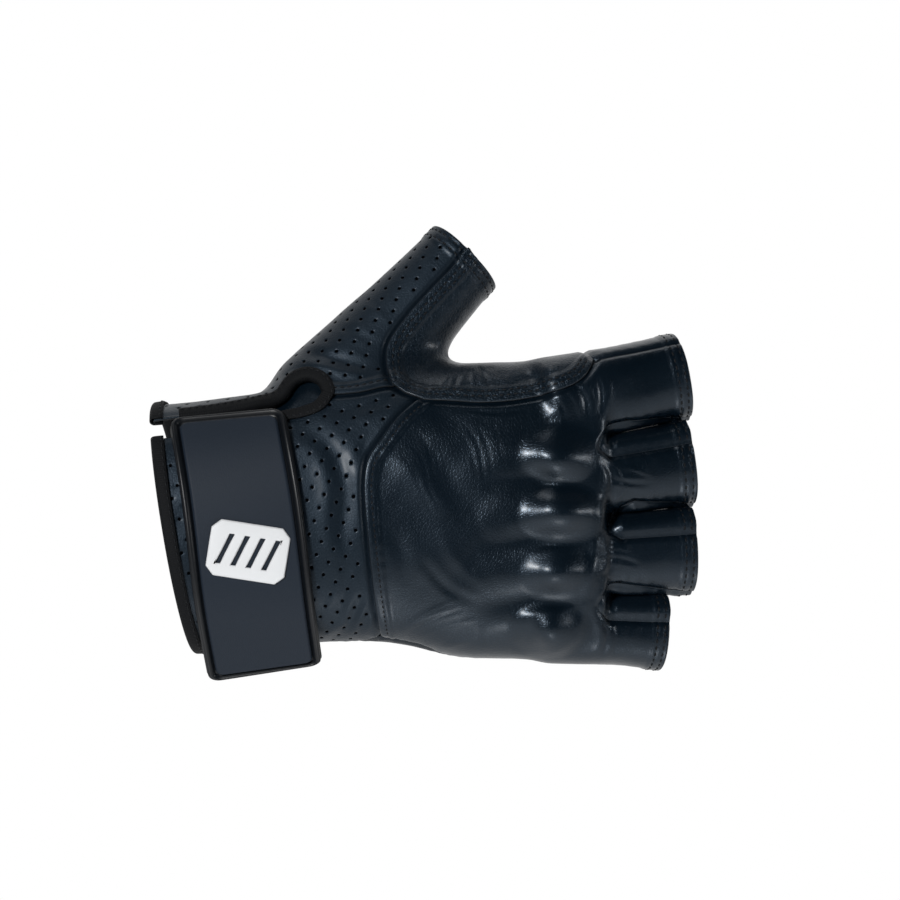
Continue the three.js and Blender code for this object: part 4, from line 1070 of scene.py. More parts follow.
# %% Wrist panel
WRIST_CREASES = [
    (2.6, -0.54, (38.0, 32.0), (46.3, 27.0), (50.3, 20.3), (51.8, 12.5), (51.2, 4.0), (52.0, -9.0)),
    (3.4, 0.42, (40.0, 25.0), (44.5, 20.0), (46.0, 10.0), (46.5, 0.0), (47.5, -9.0)),
    (2.2, 0.18, (53.5, 31.0), (56.0, 22.0), (56.2, 12.0), (56.0, 2.0)),
    (1.5, -0.24, (52.5, -10.0), (52.0, -18.0), (49.0, -27.0)),
    (1.5, 0.33, (44.7, -33.4), (51.6, -28.1)),
    (1.3, 0.33, (53.4, -34.1), (56.0, -28.0), (58.8, -22.5)),
    (1.2, 0.24, (57.2, -33.8), (59.5, -29.0), (61.0, -25.3)),
    (1.2, -0.27, (50.5, -34.1), (54.0, -27.5), (56.5, -21.0)),
    (1.3, -0.21, (46.0, -35.0), (51.0, -31.5)),
    (1.8, -0.21, (47.0, 38.0), (53.0, 37.5), (60.0, 39.0), (68.0, 41.0)),
    (1.4, -0.13, (60.0, 30.0), (57.5, 25.0), (55.0, 20.0)),
]
LONG, WIDE = fine(160), fine(216)
slit_steps, seam_steps = LONG // 2, int(LONG * 0.3)
wrist_top = joined(run("slit_low", slit_steps), run("thumb_seam", seam_steps),
                   run("web_left", LONG - slit_steps - seam_steps))
cuff_run = wrist_edge(-WRIST_SEAM, SLIT_ANGLE, WIDE)
wrist_sheet = sheet_of(patch(run("wrist_bottom", LONG), wrist_top, cuff_run,
                             run("panel_left", WIDE)[::-1]))
wrist_edges = [("closed", run("wrist_bottom", 60)), ("taped", run("slit_low", 50)),
               ("under", run("thumb_seam", 30)), ("under", run("web_left", 15)), ("taped", cuff_run),
               ("under", run("panel_left", 90))]
wrist_uv = flattened(wrist_sheet)
WRIST_LATTICE = ((3.75, -2.34), (-1.56, -4.06))
depth, keep = punched(wrist_sheet, wrist_uv, WRIST_LATTICE, wrist_edges)
wrist_panel = leather_piece("perforated_wrist", wrist_sheet, wrist_edges, creases=WRIST_CREASES,
                            extra=depth, uv=wrist_uv)
mark_punched(wrist_panel, wrist_sheet, keep)

# %% Thumb panel
LIP_LIFT, LIP_RISE, LIP_END, LIP_FADE, LIP_ROUND = 1.6, 8, 33, 8, 5
LIP_LOW, LIP_LEAN, LIP_UNDER = 34.6, 0.15, -0.2


def lip_lift(points):
    """The leather over the strap's sewn end stands proud along its lower edge, the line
    z = LIP_LOW + LIP_LEAN * x."""
    x, y, z = points.T
    above = (z - LIP_LOW - LIP_LEAN * x) / LIP_RISE
    height = (LIP_LIFT * (1 - smooth(above, 0, 1)) * smooth(LIP_END - x, 0, LIP_FADE)
              * smooth(-y, 0, LIP_ROUND))
    return np.where((y > 0) | (x > LIP_END) | (above < LIP_UNDER), 0, height)


THUMB_CREASES = [
    (1.9, 0.45, (34.4, 53.0), (43.8, 51.2), (51.6, 49.0), (57.5, 47.6)),
    (1.6, -0.34, (38.0, 55.5), (46.0, 54.0), (54.0, 52.0), (61.0, 50.0)),
    (1.4, -0.22, (47.0, 46.6), (54.0, 46.2), (60.0, 46.8)),
    (2.6, 0.45, (33.5, 49.0), (35.5, 46.0), (37.0, 44.0)),
    (1.4, -0.30, (29.0, 49.5), (30.5, 45.5), (31.0, 41.5)),
    (1.2, 0.22, (24.0, 45.5), (26.5, 43.0), (27.5, 40.0)),
    (1.4, 0.11, (44.0, 60.5), (51.0, 58.0), (58.0, 54.5)),
    (1.3, -0.11, (48.0, 64.5), (55.0, 61.5), (62.0, 58.0)),
    (1.3, 0.09, (56.0, 71.5), (62.0, 67.5), (67.0, 63.5)),
]
LIP, BULGE, ALONG = fine(120), fine(56), fine(150)
thumb_seam_steps = fine(42)
bulge_run = run("bulge", BULGE)
thumb_low = joined(bulge_run[::-1], run("thumb_seam", thumb_seam_steps))
thumb_outer, thumb_back = run("thumb_outer", ALONG), run("thumb_back", ALONG)
rim_run = thumb_rim(THUMB_PALM_SEAM, THUMB_WEB_SEAM, len(thumb_low) - 1)
lip_run, lip_cuff = run("lip", LIP), wrist_edge(LIP_ANGLE, WRIST_SEAM, BULGE)
thumb_sheet = sheet_of(patch(lip_run, run("radial", LIP), lip_cuff, bulge_run),
                       patch(thumb_low, rim_run, thumb_outer, thumb_back))
thumb_edges = [("taped", lip_run), ("taped", lip_cuff), ("closed", run("radial", 40)),
               ("closed", run("thumb_outer", 50)), ("over", run("thumb_seam", 20)),
               ("under", run("thumb_back", 50)), ("hem", rim_run)]
thumb_uv = flattened(thumb_sheet)
THUMB_LATTICE = ((4.62, -0.94), (-1.06, -3.78))
depth, keep = punched(thumb_sheet, thumb_uv, THUMB_LATTICE, thumb_edges)
thumb_panel = leather_piece("perforated_thumb", thumb_sheet, thumb_edges, creases=THUMB_CREASES,
                            lift=lip_lift, extra=depth, uv=thumb_uv)
mark_punched(thumb_panel, thumb_sheet, keep)

# %% [markdown]
# ## The palm
#
# The photograph doesn't show the palm, so it is finished plainly: one large piece with the undersides of
# the fingers, and one under the thumb, both a little coarser than the pieces that are looked at.

# %% Palm and underside of the thumb
TOP, FORK, TONGUE, LOW, HIGH = fine(20), fine(12), fine(30), fine(60), fine(78)
palm_parts = [finger_runs(i, TOP, TONGUE) for i in range(4)]
palm_forks = [fork_run(i, "palm", FORK, "palm_root") for i in range(3)]
across = 4 * TOP + 3 * FORK
radial_steps, thenar_steps = int(LOW * 0.6), int(HIGH * 7 / 13)
palm_middle = run("palm_middle", across)
palm_cuff = wrist_edge(WRIST_SEAM, 360 - WRIST_SEAM, across)
heel = patch(joined(run("radial", radial_steps), run("thenar_low", LOW - radial_steps)),
             run("wrist_bottom", LOW), palm_cuff, palm_middle)
body = patch(joined(run("thenar_high", thenar_steps), run("web_under", HIGH - thenar_steps)[::-1]),
             run("panel_bottom", HIGH), palm_middle, finger_end(palm_parts, palm_forks, "palm"))
palm_edges = [("closed", run(name, 50)) for name in
              ("radial", "thenar_low", "thenar_high", "web_under", "panel_bottom", "wrist_bottom")]
palm_edges += [("taped", palm_cuff), *stall_edges(palm_parts, palm_forks, "palm")]
palm_panel = leather_piece("palm", sheet_of(heel, body, *stall_patches(palm_parts, "palm")), palm_edges)

LOW, UP = fine(60), fine(64)
thenar_low_steps = int(LOW * 4 / 11)
thumb_palm_rim = thumb_rim(THUMB_PALM_SEAM, 360 - THUMB_PALM_SEAM, LOW)
thenar = joined(run("thenar_low", thenar_low_steps), run("thenar_high", LOW - thenar_low_steps))
thumb_palm_edges = [("closed", thenar), ("closed", run("thumb_outer", 50)),
                    ("closed", run("thumb_inner", 50)), ("hem", thumb_palm_rim)]
thumb_palm = leather_piece(
    "thumb_palm", sheet_of(patch(thenar, thumb_palm_rim, run("thumb_outer", UP), run("thumb_inner", UP))),
    thumb_palm_edges)

# %% [markdown]
# ## Woven tape round the cuff and the slit
#
# The raw edges of the wrist and of its slit are bound with a folded woven tape. A bevelled curve would
# give a plain tube, so the tape's folded section is carried along the edge instead: it wraps the
# leather with a wall of its own and keeps its two legs on either face.

# %% Tape
TAPE_WIDE, TAPE_THICK, TAPE_GAP, SLIT_TAPE_START = 3.0, 0.7, 0.45, 0.5
FOLD_STEPS, FOLD_IN, HOLLOW_ROOM = 12, 0.35, 0.05
LEG_EDGE, LEG_BEVEL, LEG_FOOT, LEG_SWELL, LEG_FOLLOWS = 0.25, 0.12, 1.6, 0.05, 0.3


def tape_section():
    """The folded tape's closed outline: distance into the leather and height over its outer face. The
    fold is round on both its faces."""
    outer, inner = TAPE_THICK + TAPE_GAP, TAPE_GAP
    middle, reach = -LEATHER / 2, LEATHER / 2
    turn = angles(90, 270, FOLD_STEPS) * DEG
    fold = np.stack([FOLD_IN + (outer + FOLD_IN) * np.cos(turn),
                     middle + (reach + outer) * np.sin(turn)], 1)
    turn = turn[::-1]
    hollow = np.stack([(inner + HOLLOW_ROOM) * np.cos(turn), middle + (reach + inner) * np.sin(turn)], 1)
    legs = [(TAPE_WIDE, outer - LEG_BEVEL), (TAPE_WIDE - LEG_EDGE, outer), (LEG_FOOT, outer + LEG_SWELL)]
    under = [(LEG_FOOT, -LEATHER - outer), (TAPE_WIDE - LEG_EDGE, -LEATHER - outer),
             (TAPE_WIDE, LEG_BEVEL - LEATHER - outer), (TAPE_WIDE, -LEATHER - inner)]
    return np.array([*legs, *fold, *under, *hollow, (TAPE_WIDE, inner)])


def frames_along(path, side):
    """Normal, and inward direction, along a run on the form."""
    normal = outward(path)
    way = np.empty_like(path)
    way[1:-1] = path[2:] - path[:-2]
    way[0], way[-1] = path[1] - path[0], path[-1] - path[-2]
    return normal, unit(np.cross(normal, way)) * side


def tape(name, path, side, lift=None):
    """Carries the section along the path. Legs follow the form, the fold stands straight off it."""
    section = tape_section()
    normal, inward = frames_along(path, side)
    rings = np.empty((len(path), len(section), 3))
    for k, (into, over) in enumerate(section):
        place = path + inward * into
        facing = normal
        if into > LEG_FOLLOWS:
            place = on_form(place)
            facing = outward(place)
        rise = over if lift is None else over + lift(place)[:, None]
        rings[:, k] = place + facing * rise
    count, size = rings.shape[:2]
    index = np.arange(count * size).reshape(count, size)
    quads = np.stack([index[:-1], np.roll(index, -1, 1)[:-1], np.roll(index, -1, 1)[1:], index[1:]], -1)
    caps = [index[0][::-1][None], index[-1][None]]
    if side < 0:
        quads, caps = quads[..., ::-1], [cap[:, ::-1] for cap in caps]
    around = np.r_[0, np.cumsum(np.linalg.norm(np.diff(section, axis=0), axis=1))]
    uv = np.stack(np.broadcast_arrays(along_run(path)[:, None], around[None]), -1).reshape(-1, 2)
    item = mesh_object(name, rings.reshape(-1, 3), [quads.reshape(-1, 4), *caps], uv)
    PIECES[name] = dict(object=item, path=path, side=side, lift=lift)
    print(f"{name}: {along_run(path)[-1]:.0f} mm long")
    return item


cuff_path = wrist_edge(LIP_ANGLE, 360 + SLIT_ANGLE, fine(340))
cuff_tape = tape("cuff_tape", cuff_path, -1, lip_lift)
slit_path = np.vstack([run("lip", fine(130)), run("slit_low", fine(110))[::-1][1:]])
slit_path = slit_path[slit_path[:, 0] > SLIT_TAPE_START]
slit_path = on_form(smooth_run(slit_path[:: max(len(slit_path) // 40, 1)], fine(230)))
slit_tape = tape("slit_tape", slit_path, 1, lip_lift)

GUSSET_LIFT, GUSSET_THICK, GUSSET_X, GUSSET_Z = -3.2, 0.8, (29, 49), (36.5, 50)
along_x, up_z = np.linspace(*GUSSET_X, 41), np.linspace(*GUSSET_Z, 29)
gusset_sheet = sheet_of(patch(*[back_at(*[(x, z) for x in along_x]) for z in GUSSET_Z],
                              *[back_at(*[(x, z) for z in up_z]) for x in GUSSET_X]))
gusset = leather_piece("gusset", gusset_sheet, [], thickness=GUSSET_THICK,
                       lift=lambda points: np.full(len(points), GUSSET_LIFT))

# %% [markdown]
# ## The strap
#
# The closing strap is moulded rubber on a hook-and-loop tab: a rounded glossy border, a groove, and a
# matte field inside. It follows the wrist as far as its edge and then runs on straight. Its outline has
# round corners, so the square grid is first bent to a square with round corners, each ring keeping its
# distance from the edge.

# %% Strap surface
STRAP_FOOT, STRAP_THICK, STRAP_LEAVE = 1.4, 1.5, -26
STRAP_NEAR = np.array([(-2.6, 32.6), (1.5, 9.5), (5.3, -21.5), (9.1, -45.6)])
STRAP_FAR = np.array([(33.6, 36.2), (38.4, 9.4), (42.4, -21.9), (44.7, -39.9)])
STRAP_CORNER = 4.5


def spline_at(points, share):
    """A uniform Catmull-Rom curve whose end slopes use the end points themselves."""
    ends = np.vstack([points[0], points, points[-1]])
    place = np.asarray(share) * (len(points) - 1)
    i = np.clip(place.astype(int), 0, len(points) - 2)
    w = (place - i)[..., None]
    p0, p1, p2, p3 = (ends[i + k] for k in range(4))
    leave, arrive = (p2 - p0) / 2, (p3 - p1) / 2
    return ((2 * p1 - 2 * p2 + leave + arrive) * w ** 3 + (3 * (p2 - p1) - 2 * leave - arrive) * w ** 2
            + leave * w + p1)


def strap_point(flat):
    """Places (x, z) of the strap on the wrist's form, and their normals. Past STRAP_LEAVE the strap runs
    straight on."""
    x, z = flat.reshape(-1, 2).T
    place = face_at(np.stack([x, np.maximum(z, STRAP_LEAVE)], 1), -1)
    normal = outward(place)
    way = unit(np.stack([np.zeros(len(x)), normal[:, 2], -normal[:, 1]], 1))
    way = np.where(way[:, 2:] > 0, -way, way)
    past = np.maximum(STRAP_LEAVE - z, 0)
    return place + way * (past / -way[:, 2])[:, None], normal


def round_corners(a, b, wide, long, radius):
    """Bends a square grid so that its corners are round: near a corner, the larger of the two distances
    to the corner circle's middle is kept, and the direction is turned to the true one."""
    x, y = a - wide / 2, b - long / 2
    cx, cy = np.abs(x) - (wide / 2 - radius), np.abs(y) - (long / 2 - radius)
    near = (cx > 0) & (cy > 0)
    reach = np.maximum(np.maximum(cx, cy), 1e-9)
    size = np.hypot(cx, cy) + 1e-9
    cx, cy = np.where(near, cx / size * reach, cx), np.where(near, cy / size * reach, cy)
    return (np.where(near, np.sign(x) * (cx + wide / 2 - radius), x) + wide / 2,
            np.where(near, np.sign(y) * (cy + long / 2 - radius), y) + long / 2)


def strap_sheet(inset, steps_wide, steps_long, corner):
    """A sheet over the strap, inset from its outline, with its flat coordinates in mm."""
    long = along_run(spline_at(STRAP_NEAR, np.linspace(0, 1, 60)))[-1]
    wide = float(np.linalg.norm(STRAP_FAR[0] - STRAP_NEAR[0]))
    a, b = np.meshgrid(np.linspace(inset, wide - inset, steps_wide + 1),
                       np.linspace(inset, long - inset, steps_long + 1))
    edge = np.minimum(np.minimum(a, wide - a), np.minimum(b, long - b)) - inset
    ra, rb = round_corners(a - inset, b - inset, wide - 2 * inset, long - 2 * inset, corner)
    ra, rb = ra + inset, rb + inset
    near, far = spline_at(STRAP_NEAR, rb / long), spline_at(STRAP_FAR, rb / long)
    share = (ra / wide)[..., None]
    points, normals = strap_point(near * (1 - share) + far * share)
    quads = facing_out(points, normals, grid_quads(*edge.shape).reshape(-1, 4))
    return (points, normals, quads), np.stack([a.ravel(), b.ravel()], 1), edge.ravel()


def strap_part(name, sheet, flat, foot, top):
    """One moulded part of the strap, between two heights over the form."""
    everything, quads, inside, border = wall(sheet, top - foot, top)
    return mesh_object(name, everything, quads, over_wall(flat, border), inside)


STRAP_TOP = STRAP_FOOT + STRAP_THICK
BORDER_RISE, BORDER_WIDE, BORDER_GROOVE, BORDER_DROP = 1.0, 2.7, 0.5, 0.9
BORDER_LEAN, BORDER_ROUND = 0.75, 0.55
sheet, strap_uv, edge = strap_sheet(0.0, fine(90), fine(170), STRAP_CORNER)
across_border = np.clip(edge / BORDER_WIDE, 0, 1)
rounded = np.sin(math.pi * across_border ** BORDER_LEAN) ** BORDER_ROUND
band_top = STRAP_TOP - BORDER_DROP + (BORDER_DROP + BORDER_RISE) * rounded
band_top = np.where(edge > BORDER_WIDE, STRAP_TOP - BORDER_GROOVE, band_top)
band_top = np.maximum(band_top, STRAP_TOP - BORDER_DROP)
strap_border = strap_part("strap_border", sheet, strap_uv, STRAP_FOOT, band_top)

FIELD_INSET, FIELD_FOOT, FIELD_TOP, FIELD_ROUND = 3.0, 2.7, 3.75, 0.8
FIELD_CORNER, FIELD_SOFT, FIELD_LIFT = STRAP_CORNER - 2, 0.9, 0.08
sheet, field_uv, edge = strap_sheet(FIELD_INSET, fine(80), fine(150), FIELD_CORNER)
drop = np.maximum(FIELD_ROUND - edge, 0)
rounded = np.sqrt(np.maximum(FIELD_ROUND ** 2 - drop ** 2, 0))
field_top = FIELD_TOP - FIELD_ROUND + rounded * FIELD_SOFT + FIELD_LIFT
strap_field = strap_part("strap_field", sheet, field_uv, FIELD_FOOT, field_top)
print(f"strap {np.ptp(strap_uv[:, 0]):.1f} x {np.ptp(strap_uv[:, 1]):.1f} mm")

# %% [markdown]
# ## The badge
#
# The strap carries a plain light badge with cut corners and four slanted slots. A Boolean would cut the
# slots out of a slab, but a grid whose slot cells are simply left out gives the same shape with clean
# quads. Its corner cells are cut off by moving two of their corners together.

# %% Badge
BADGE_HALF, BADGE_CUT, BADGE_FOOT, BADGE_TOP = (12.0, 8.5), 2.5, 3.6, 4.7
BADGE_PLACE, BADGE_TURN, BADGE_BEND, BADGE_OUT, BADGE_BEVEL = (22, -6), -0.16, 0.0085, 0.35, 0.15
SLOT_PITCH, SLOT_HALF, SLOT_TALL, SLOT_LEAN, SLOT_MIDDLE = 4.8, 1.0, 5.0, 1.6, 1.7
HAIR, SQUARE_RIM = 0.1, np.array([90]) * DEG
slots = [(i - 1.5) * SLOT_PITCH + side * SLOT_HALF for i in range(4) for side in (-1, 1)]
half_wide, half_high = BADGE_HALF
columns = [-half_wide, BADGE_CUT - half_wide, *slots, half_wide - BADGE_CUT, half_wide]
rows = [-half_high, -SLOT_TALL - 1, -SLOT_TALL, -SLOT_MIDDLE, SLOT_MIDDLE, SLOT_TALL, SLOT_TALL + 1,
        half_high]
gx, gy = np.meshgrid(columns, rows)
slanted = (np.abs(gx) < half_wide - BADGE_CUT - HAIR) & (np.abs(gy) < SLOT_TALL + HAIR)
gx = gx + np.where(slanted, SLOT_LEAN * gy / SLOT_TALL, 0)
corner = (np.abs(gx) > half_wide - HAIR) & (np.abs(gy) > half_high - HAIR)
gx = np.where(corner, np.sign(gx) * (half_wide - BADGE_CUT / 2), gx)
gy = np.where(corner, np.sign(gy) * (half_high - BADGE_CUT / 2), gy)
(place,), (normal,) = strap_point(np.array([BADGE_PLACE], float))
up = unit(np.cross(normal, (math.cos(BADGE_TURN), 0, math.sin(BADGE_TURN))))
along = np.cross(up, normal)
rise = (BADGE_TOP - gy ** 2 * BADGE_BEND)[..., None]
top = place + gx[..., None] * along + gy[..., None] * up + rise * normal
kept = np.ones((len(rows) - 1, len(columns) - 1), bool)
kept[2:5, 2:9:2] = False
sheet = (top.reshape(-1, 3), np.broadcast_to(normal, (gx.size, 3)).copy(), grid_quads(*gx.shape)[kept])
everything, quads, *_ = wall(sheet, BADGE_TOP - BADGE_FOOT, np.zeros(gx.size), BADGE_OUT, SQUARE_RIM)
badge = mesh_object("badge", everything, quads)
bevel = badge.modifiers.new("rounded edges", "BEVEL")
bevel.width, bevel.segments = BADGE_BEVEL * MM, 2
bevel.limit_method, bevel.angle_limit = "ANGLE", 30 * DEG
print(f"badge: {len(quads)} faces, {int((~kept).sum()) // 3} slots")

# %% [markdown]
# ## Stitches
#
# Every row of thread shows as short rods that sit in the groove the seam gives it. One stitch is a
# small six-sided rod with rounded ends, and a row is that rod copied at an even pitch along a run that
# lies a fixed distance inside a seam, at the height that the leather has there.

# %% Rows of stitches
STITCH_RADIUS, STITCH_LONG, STITCH_PITCH, STITCH_SIDES = 0.27, 1.55, 2.2, 6
ROD_PLACES = np.array([-1.0, -0.86, -0.45, 0.45, 0.86, 1.0])
ROD_RADII = np.array([0.35, 0.75, 1.0, 1.0, 0.75, 0.35])
DIP, DIP_ENDS, LEAST_STITCHES = 0.12, 0.30, 2
stitch_points, stitch_quads, stitch_caps = [], [], []


def stitch_row(path, normals, pitch=STITCH_PITCH, radius=STITCH_RADIUS, long=STITCH_LONG):
    """Adds rods along a path that already lies on the leather."""
    lengths = along_run(path)
    number = int(lengths[-1] / pitch)
    if number < LEAST_STITCHES:
        return
    middle = (np.arange(number) + 0.5) * lengths[-1] / number

    def at(places, values):
        return np.stack([np.interp(places, lengths, values[:, k]) for k in range(3)], 1)

    centre, normal = at(middle, path), unit(at(middle, normals))
    way = unit(at(middle + long / 2, path) - at(middle - long / 2, path))
    side = unit(np.cross(normal, way))
    rings = []
    for place, size in zip(ROD_PLACES, ROD_RADII):
        dip = DIP * radius / STITCH_RADIUS - DIP_ENDS * place * place
        ring_middle = centre + way * (place * long / 2) + normal * dip
        turn = np.arange(STITCH_SIDES) / STITCH_SIDES * 2 * math.pi
        around = (side[:, None] * np.cos(turn)[None, :, None]
                  + normal[:, None] * np.sin(turn)[None, :, None])
        rings.append(ring_middle[:, None] + around * radius * size)
    rods = np.stack(rings, 1)
    index = np.arange(rods[..., 0].size).reshape(rods.shape[:3])
    turned = np.roll(index, -1, axis=2)
    quads = np.stack([index[:, :-1], index[:, 1:], turned[:, 1:], turned[:, :-1]], -1).reshape(-1, 4)
    count = sum(len(part) for part in stitch_points)
    stitch_points.append(rods.reshape(-1, 3))
    stitch_quads.append(quads + count)
    stitch_caps.extend([index[:, 0] + count, index[:, -1, ::-1] + count])


def row_beside(piece, line, distance, only=WHOLE, **how):
    """A row at a distance inside a seam of a leather piece, on its relief. The piece's own border says
    which side of the seam has its leather."""
    made = PIECES[piece]
    relief = made["relief"]
    normal, inward = frames_along(line, 1)
    probe = len(line) // 2
    nearest = np.linalg.norm(made["border"] - line[probe], axis=1).argmin()
    inward = inward * np.sign(np.dot(inward[probe], made["inward"][nearest]))
    path = on_form(line + inward * distance, only)
    normal = outward(path, only)
    stitch_row(path + normal * relief(path, normal)[:, None], normal, **how)


def trimmed(line, start, end=0.0):
    """A run without its first and last millimetres."""
    lengths = along_run(line)
    return line[(lengths >= start) & (lengths <= lengths[-1] - end)]


def rim_row(piece, i, start, end, steps, distance):
    """A row beside the rim of finger i, from one angle to another."""
    row_beside(piece, on_finger(i, FINGERS[i]["length"], angles(start, end, steps)), distance, i)


LAP_ROW, TAPE_ROW = 1.35, TAPE_WIDE - 0.8
row_beside("smooth_back", trimmed(run("panel_left", 200), 3, 2), LAP_ROW, pitch=1.75, long=1.25,
           radius=0.24)
for distance in EDGES["double"]["rows"]:
    row_beside("web", trimmed(web_low, 1.5, 1.0), distance)
    row_beside("web", trimmed(run("thumb_back", 200), 1.5, 5.5), distance)
row_beside("perforated_thumb", trimmed(run("thumb_seam", 80), 1.5, 1.5), LAP_ROW)
for distance in EDGES["hem"]["rows"]:
    for i, finger in enumerate(FINGERS):
        low = -PALM_SEAM if i == 3 else LOW_SEAM
        near = PALM_SEAM if i == 0 else FORK_PALM_SEAM
        far = 360 - (PALM_SEAM if i == 3 else FORK_PALM_SEAM)
        rim_row("smooth_back", i, finger["seam"] - 3, low + 3, 60, distance)
        rim_row("palm", i, near + 3, far - 3, 60, distance)
    rim_row("index_strip", 0, FINGERS[0]["seam"] + 3, PALM_SEAM - 3, 30, distance)
    for i in range(3):
        rim_row(f"gap_strip_{i + 1}", i, LOW_SEAM - 4, 4 - FORK_PALM_SEAM, 30, distance)
        rim_row(f"gap_strip_{i + 1}", i + 1, FINGERS[i + 1]["seam"] + 4, FORK_PALM_SEAM - 4, 40, distance)
    row_beside("web", thumb_rim(THUMB_WEB_SEAM - 5, 4 - THUMB_PALM_SEAM, 60), distance)
    row_beside("perforated_thumb", thumb_rim(THUMB_PALM_SEAM - 3, THUMB_WEB_SEAM + 3, 60), distance)
    row_beside("thumb_palm", thumb_rim(THUMB_PALM_SEAM + 3, 357 - THUMB_PALM_SEAM, 60), distance)


def row_on_tape(name, into):
    piece = PIECES[name]
    normal, inward = frames_along(piece["path"], piece["side"])
    place = on_form(piece["path"] + inward * into)
    normal = outward(place)
    height = TAPE_THICK + TAPE_GAP + (0 if piece["lift"] is None else piece["lift"](place))
    stitch_row(place + normal * np.broadcast_to(height, len(place))[:, None], normal)


row_on_tape("cuff_tape", TAPE_ROW)
row_on_tape("slit_tape", TAPE_ROW)
stitches = mesh_object("stitches", np.vstack(stitch_points),
                       [np.vstack(stitch_quads), np.vstack(stitch_caps)])
print(f"stitches: {len(stitch_points)} rows, {sum(len(part) for part in stitch_caps) // 2} stitches")

# %% [markdown]
# ## Materials
#
# Leather is a dark, slightly glossy skin over fine pebbles. Its colour can be one value: what the eye
# reads as leather is the bump of cells about a millimetre wide, finer wrinkles between them, and a
# roughness that changes from place to place. All of it is worked out on the object's own coordinates in
# real millimetres, so every piece of the hide has the same grain. The inner face is matte suede.

# %% Small shader helpers
def linear(code):
    """An sRGB hex colour as linear RGBA."""
    values = [int(code[i:i + 2], 16) / 255 for i in (1, 3, 5)]
    return [v / 12.92 if v <= 0.04045 else ((v + 0.055) / 1.055) ** 2.4 for v in values] + [1.0]


def fill(tree, node, sockets):
    """Sets each input socket to a value, or links it to the output given for it."""
    for key, value in sockets.items():
        if isinstance(value, bpy.types.NodeSocket):
            tree.links.new(value, node.inputs[key])
        else:
            node.inputs[key].default_value = value


def add_node(tree, kind, sockets=None, **settings):
    """Adds a node, sets its settings, and fills its input sockets."""
    node = tree.nodes.new(kind)
    for name, value in settings.items():
        setattr(node, name, value)
    fill(tree, node, sockets or {})
    return node


def maths(tree, operation, *values):
    """One sum on numbers or sockets. MULTIPLY_ADD is first * second + third."""
    return add_node(tree, "ShaderNodeMath", dict(enumerate(values)), operation=operation).outputs[0]


def ramp(tree, value, start, end, first=0.0, last=1.0, kind="LINEAR"):
    """first up to start, last from end on, and a slope between them."""
    sockets = {0: value, 1: start, 2: end, 3: first, 4: last}
    return add_node(tree, "ShaderNodeMapRange", sockets, interpolation_type=kind).outputs[0]


def mix(tree, share, first, second, colours=False):
    """first where share is 0 and second where it is 1, for two numbers or for two colours."""
    at, kind, out = (6, "RGBA", 2) if colours else (2, "FLOAT", 0)
    sockets = {0: share, at: first, at + 1: second}
    return add_node(tree, "ShaderNodeMix", sockets, data_type=kind).outputs[out]


def noise(tree, place, size, detail=3.0, **more):
    """Noise with lumps of about that size in mm."""
    sockets = {"Vector": place, "Scale": per_mm(size), "Detail": detail, **more}
    return add_node(tree, "ShaderNodeTexNoise", sockets).outputs[0]


def bumps(tree, height, strength, deep):
    """A bump map of that depth in mm."""
    sockets = {"Height": height, "Strength": strength, "Distance": deep * MM}
    return add_node(tree, "ShaderNodeBump", sockets).outputs[0]


def new_material(name):
    material = bpy.data.materials.new(name)
    material.use_nodes = True
    tree = material.node_tree
    tree.nodes.clear()
    shader = add_node(tree, "ShaderNodeBsdfPrincipled")
    add_node(tree, "ShaderNodeOutputMaterial", {"Surface": shader.outputs[0]})
    return material, tree, shader


def per_mm(size):
    """The scale that gives a pattern cells of that size in mm, on coordinates in metres."""
    return 1 / (size * MM)


# %% Leather
# HOLE_SHADE_COLOUR is painted shade: the near-black seen down each punched hole.
SUEDE, HOLE_SHADE_COLOUR, SKY_TINT = "#2e2c2a", "#020203", "#a3b8cd"


def grain(tree, place, pebble, strength):
    """Round pebbles with creases between them, soft folds, long fine lines and a much finer skin."""
    cells = add_node(tree, "ShaderNodeTexVoronoi", {"Vector": place, "Scale": per_mm(pebble),
                                                    "Randomness": 0.9}, feature="DISTANCE_TO_EDGE")
    pebbles = ramp(tree, cells.outputs["Distance"], 0.0, 0.22, kind="SMOOTHERSTEP")
    skin = noise(tree, place, 0.45, Roughness=0.6)
    folds = noise(tree, place, 5.5, Distortion=1.2)
    stretched = add_node(tree, "ShaderNodeMapping", {"Vector": place, "Rotation": (0.2, 0.7, 0.0),
                                                     "Scale": (1.0, 1.0, 0.22)}).outputs[0]
    lines = noise(tree, stretched, 1.3, Distortion=0.6)
    height = maths(tree, "MULTIPLY_ADD", lines, 1.6, skin)
    height = maths(tree, "MULTIPLY_ADD", height, 0.6, pebbles)
    height = maths(tree, "MULTIPLY_ADD", folds, 2.2, height)
    return bumps(tree, height, strength, 0.09)


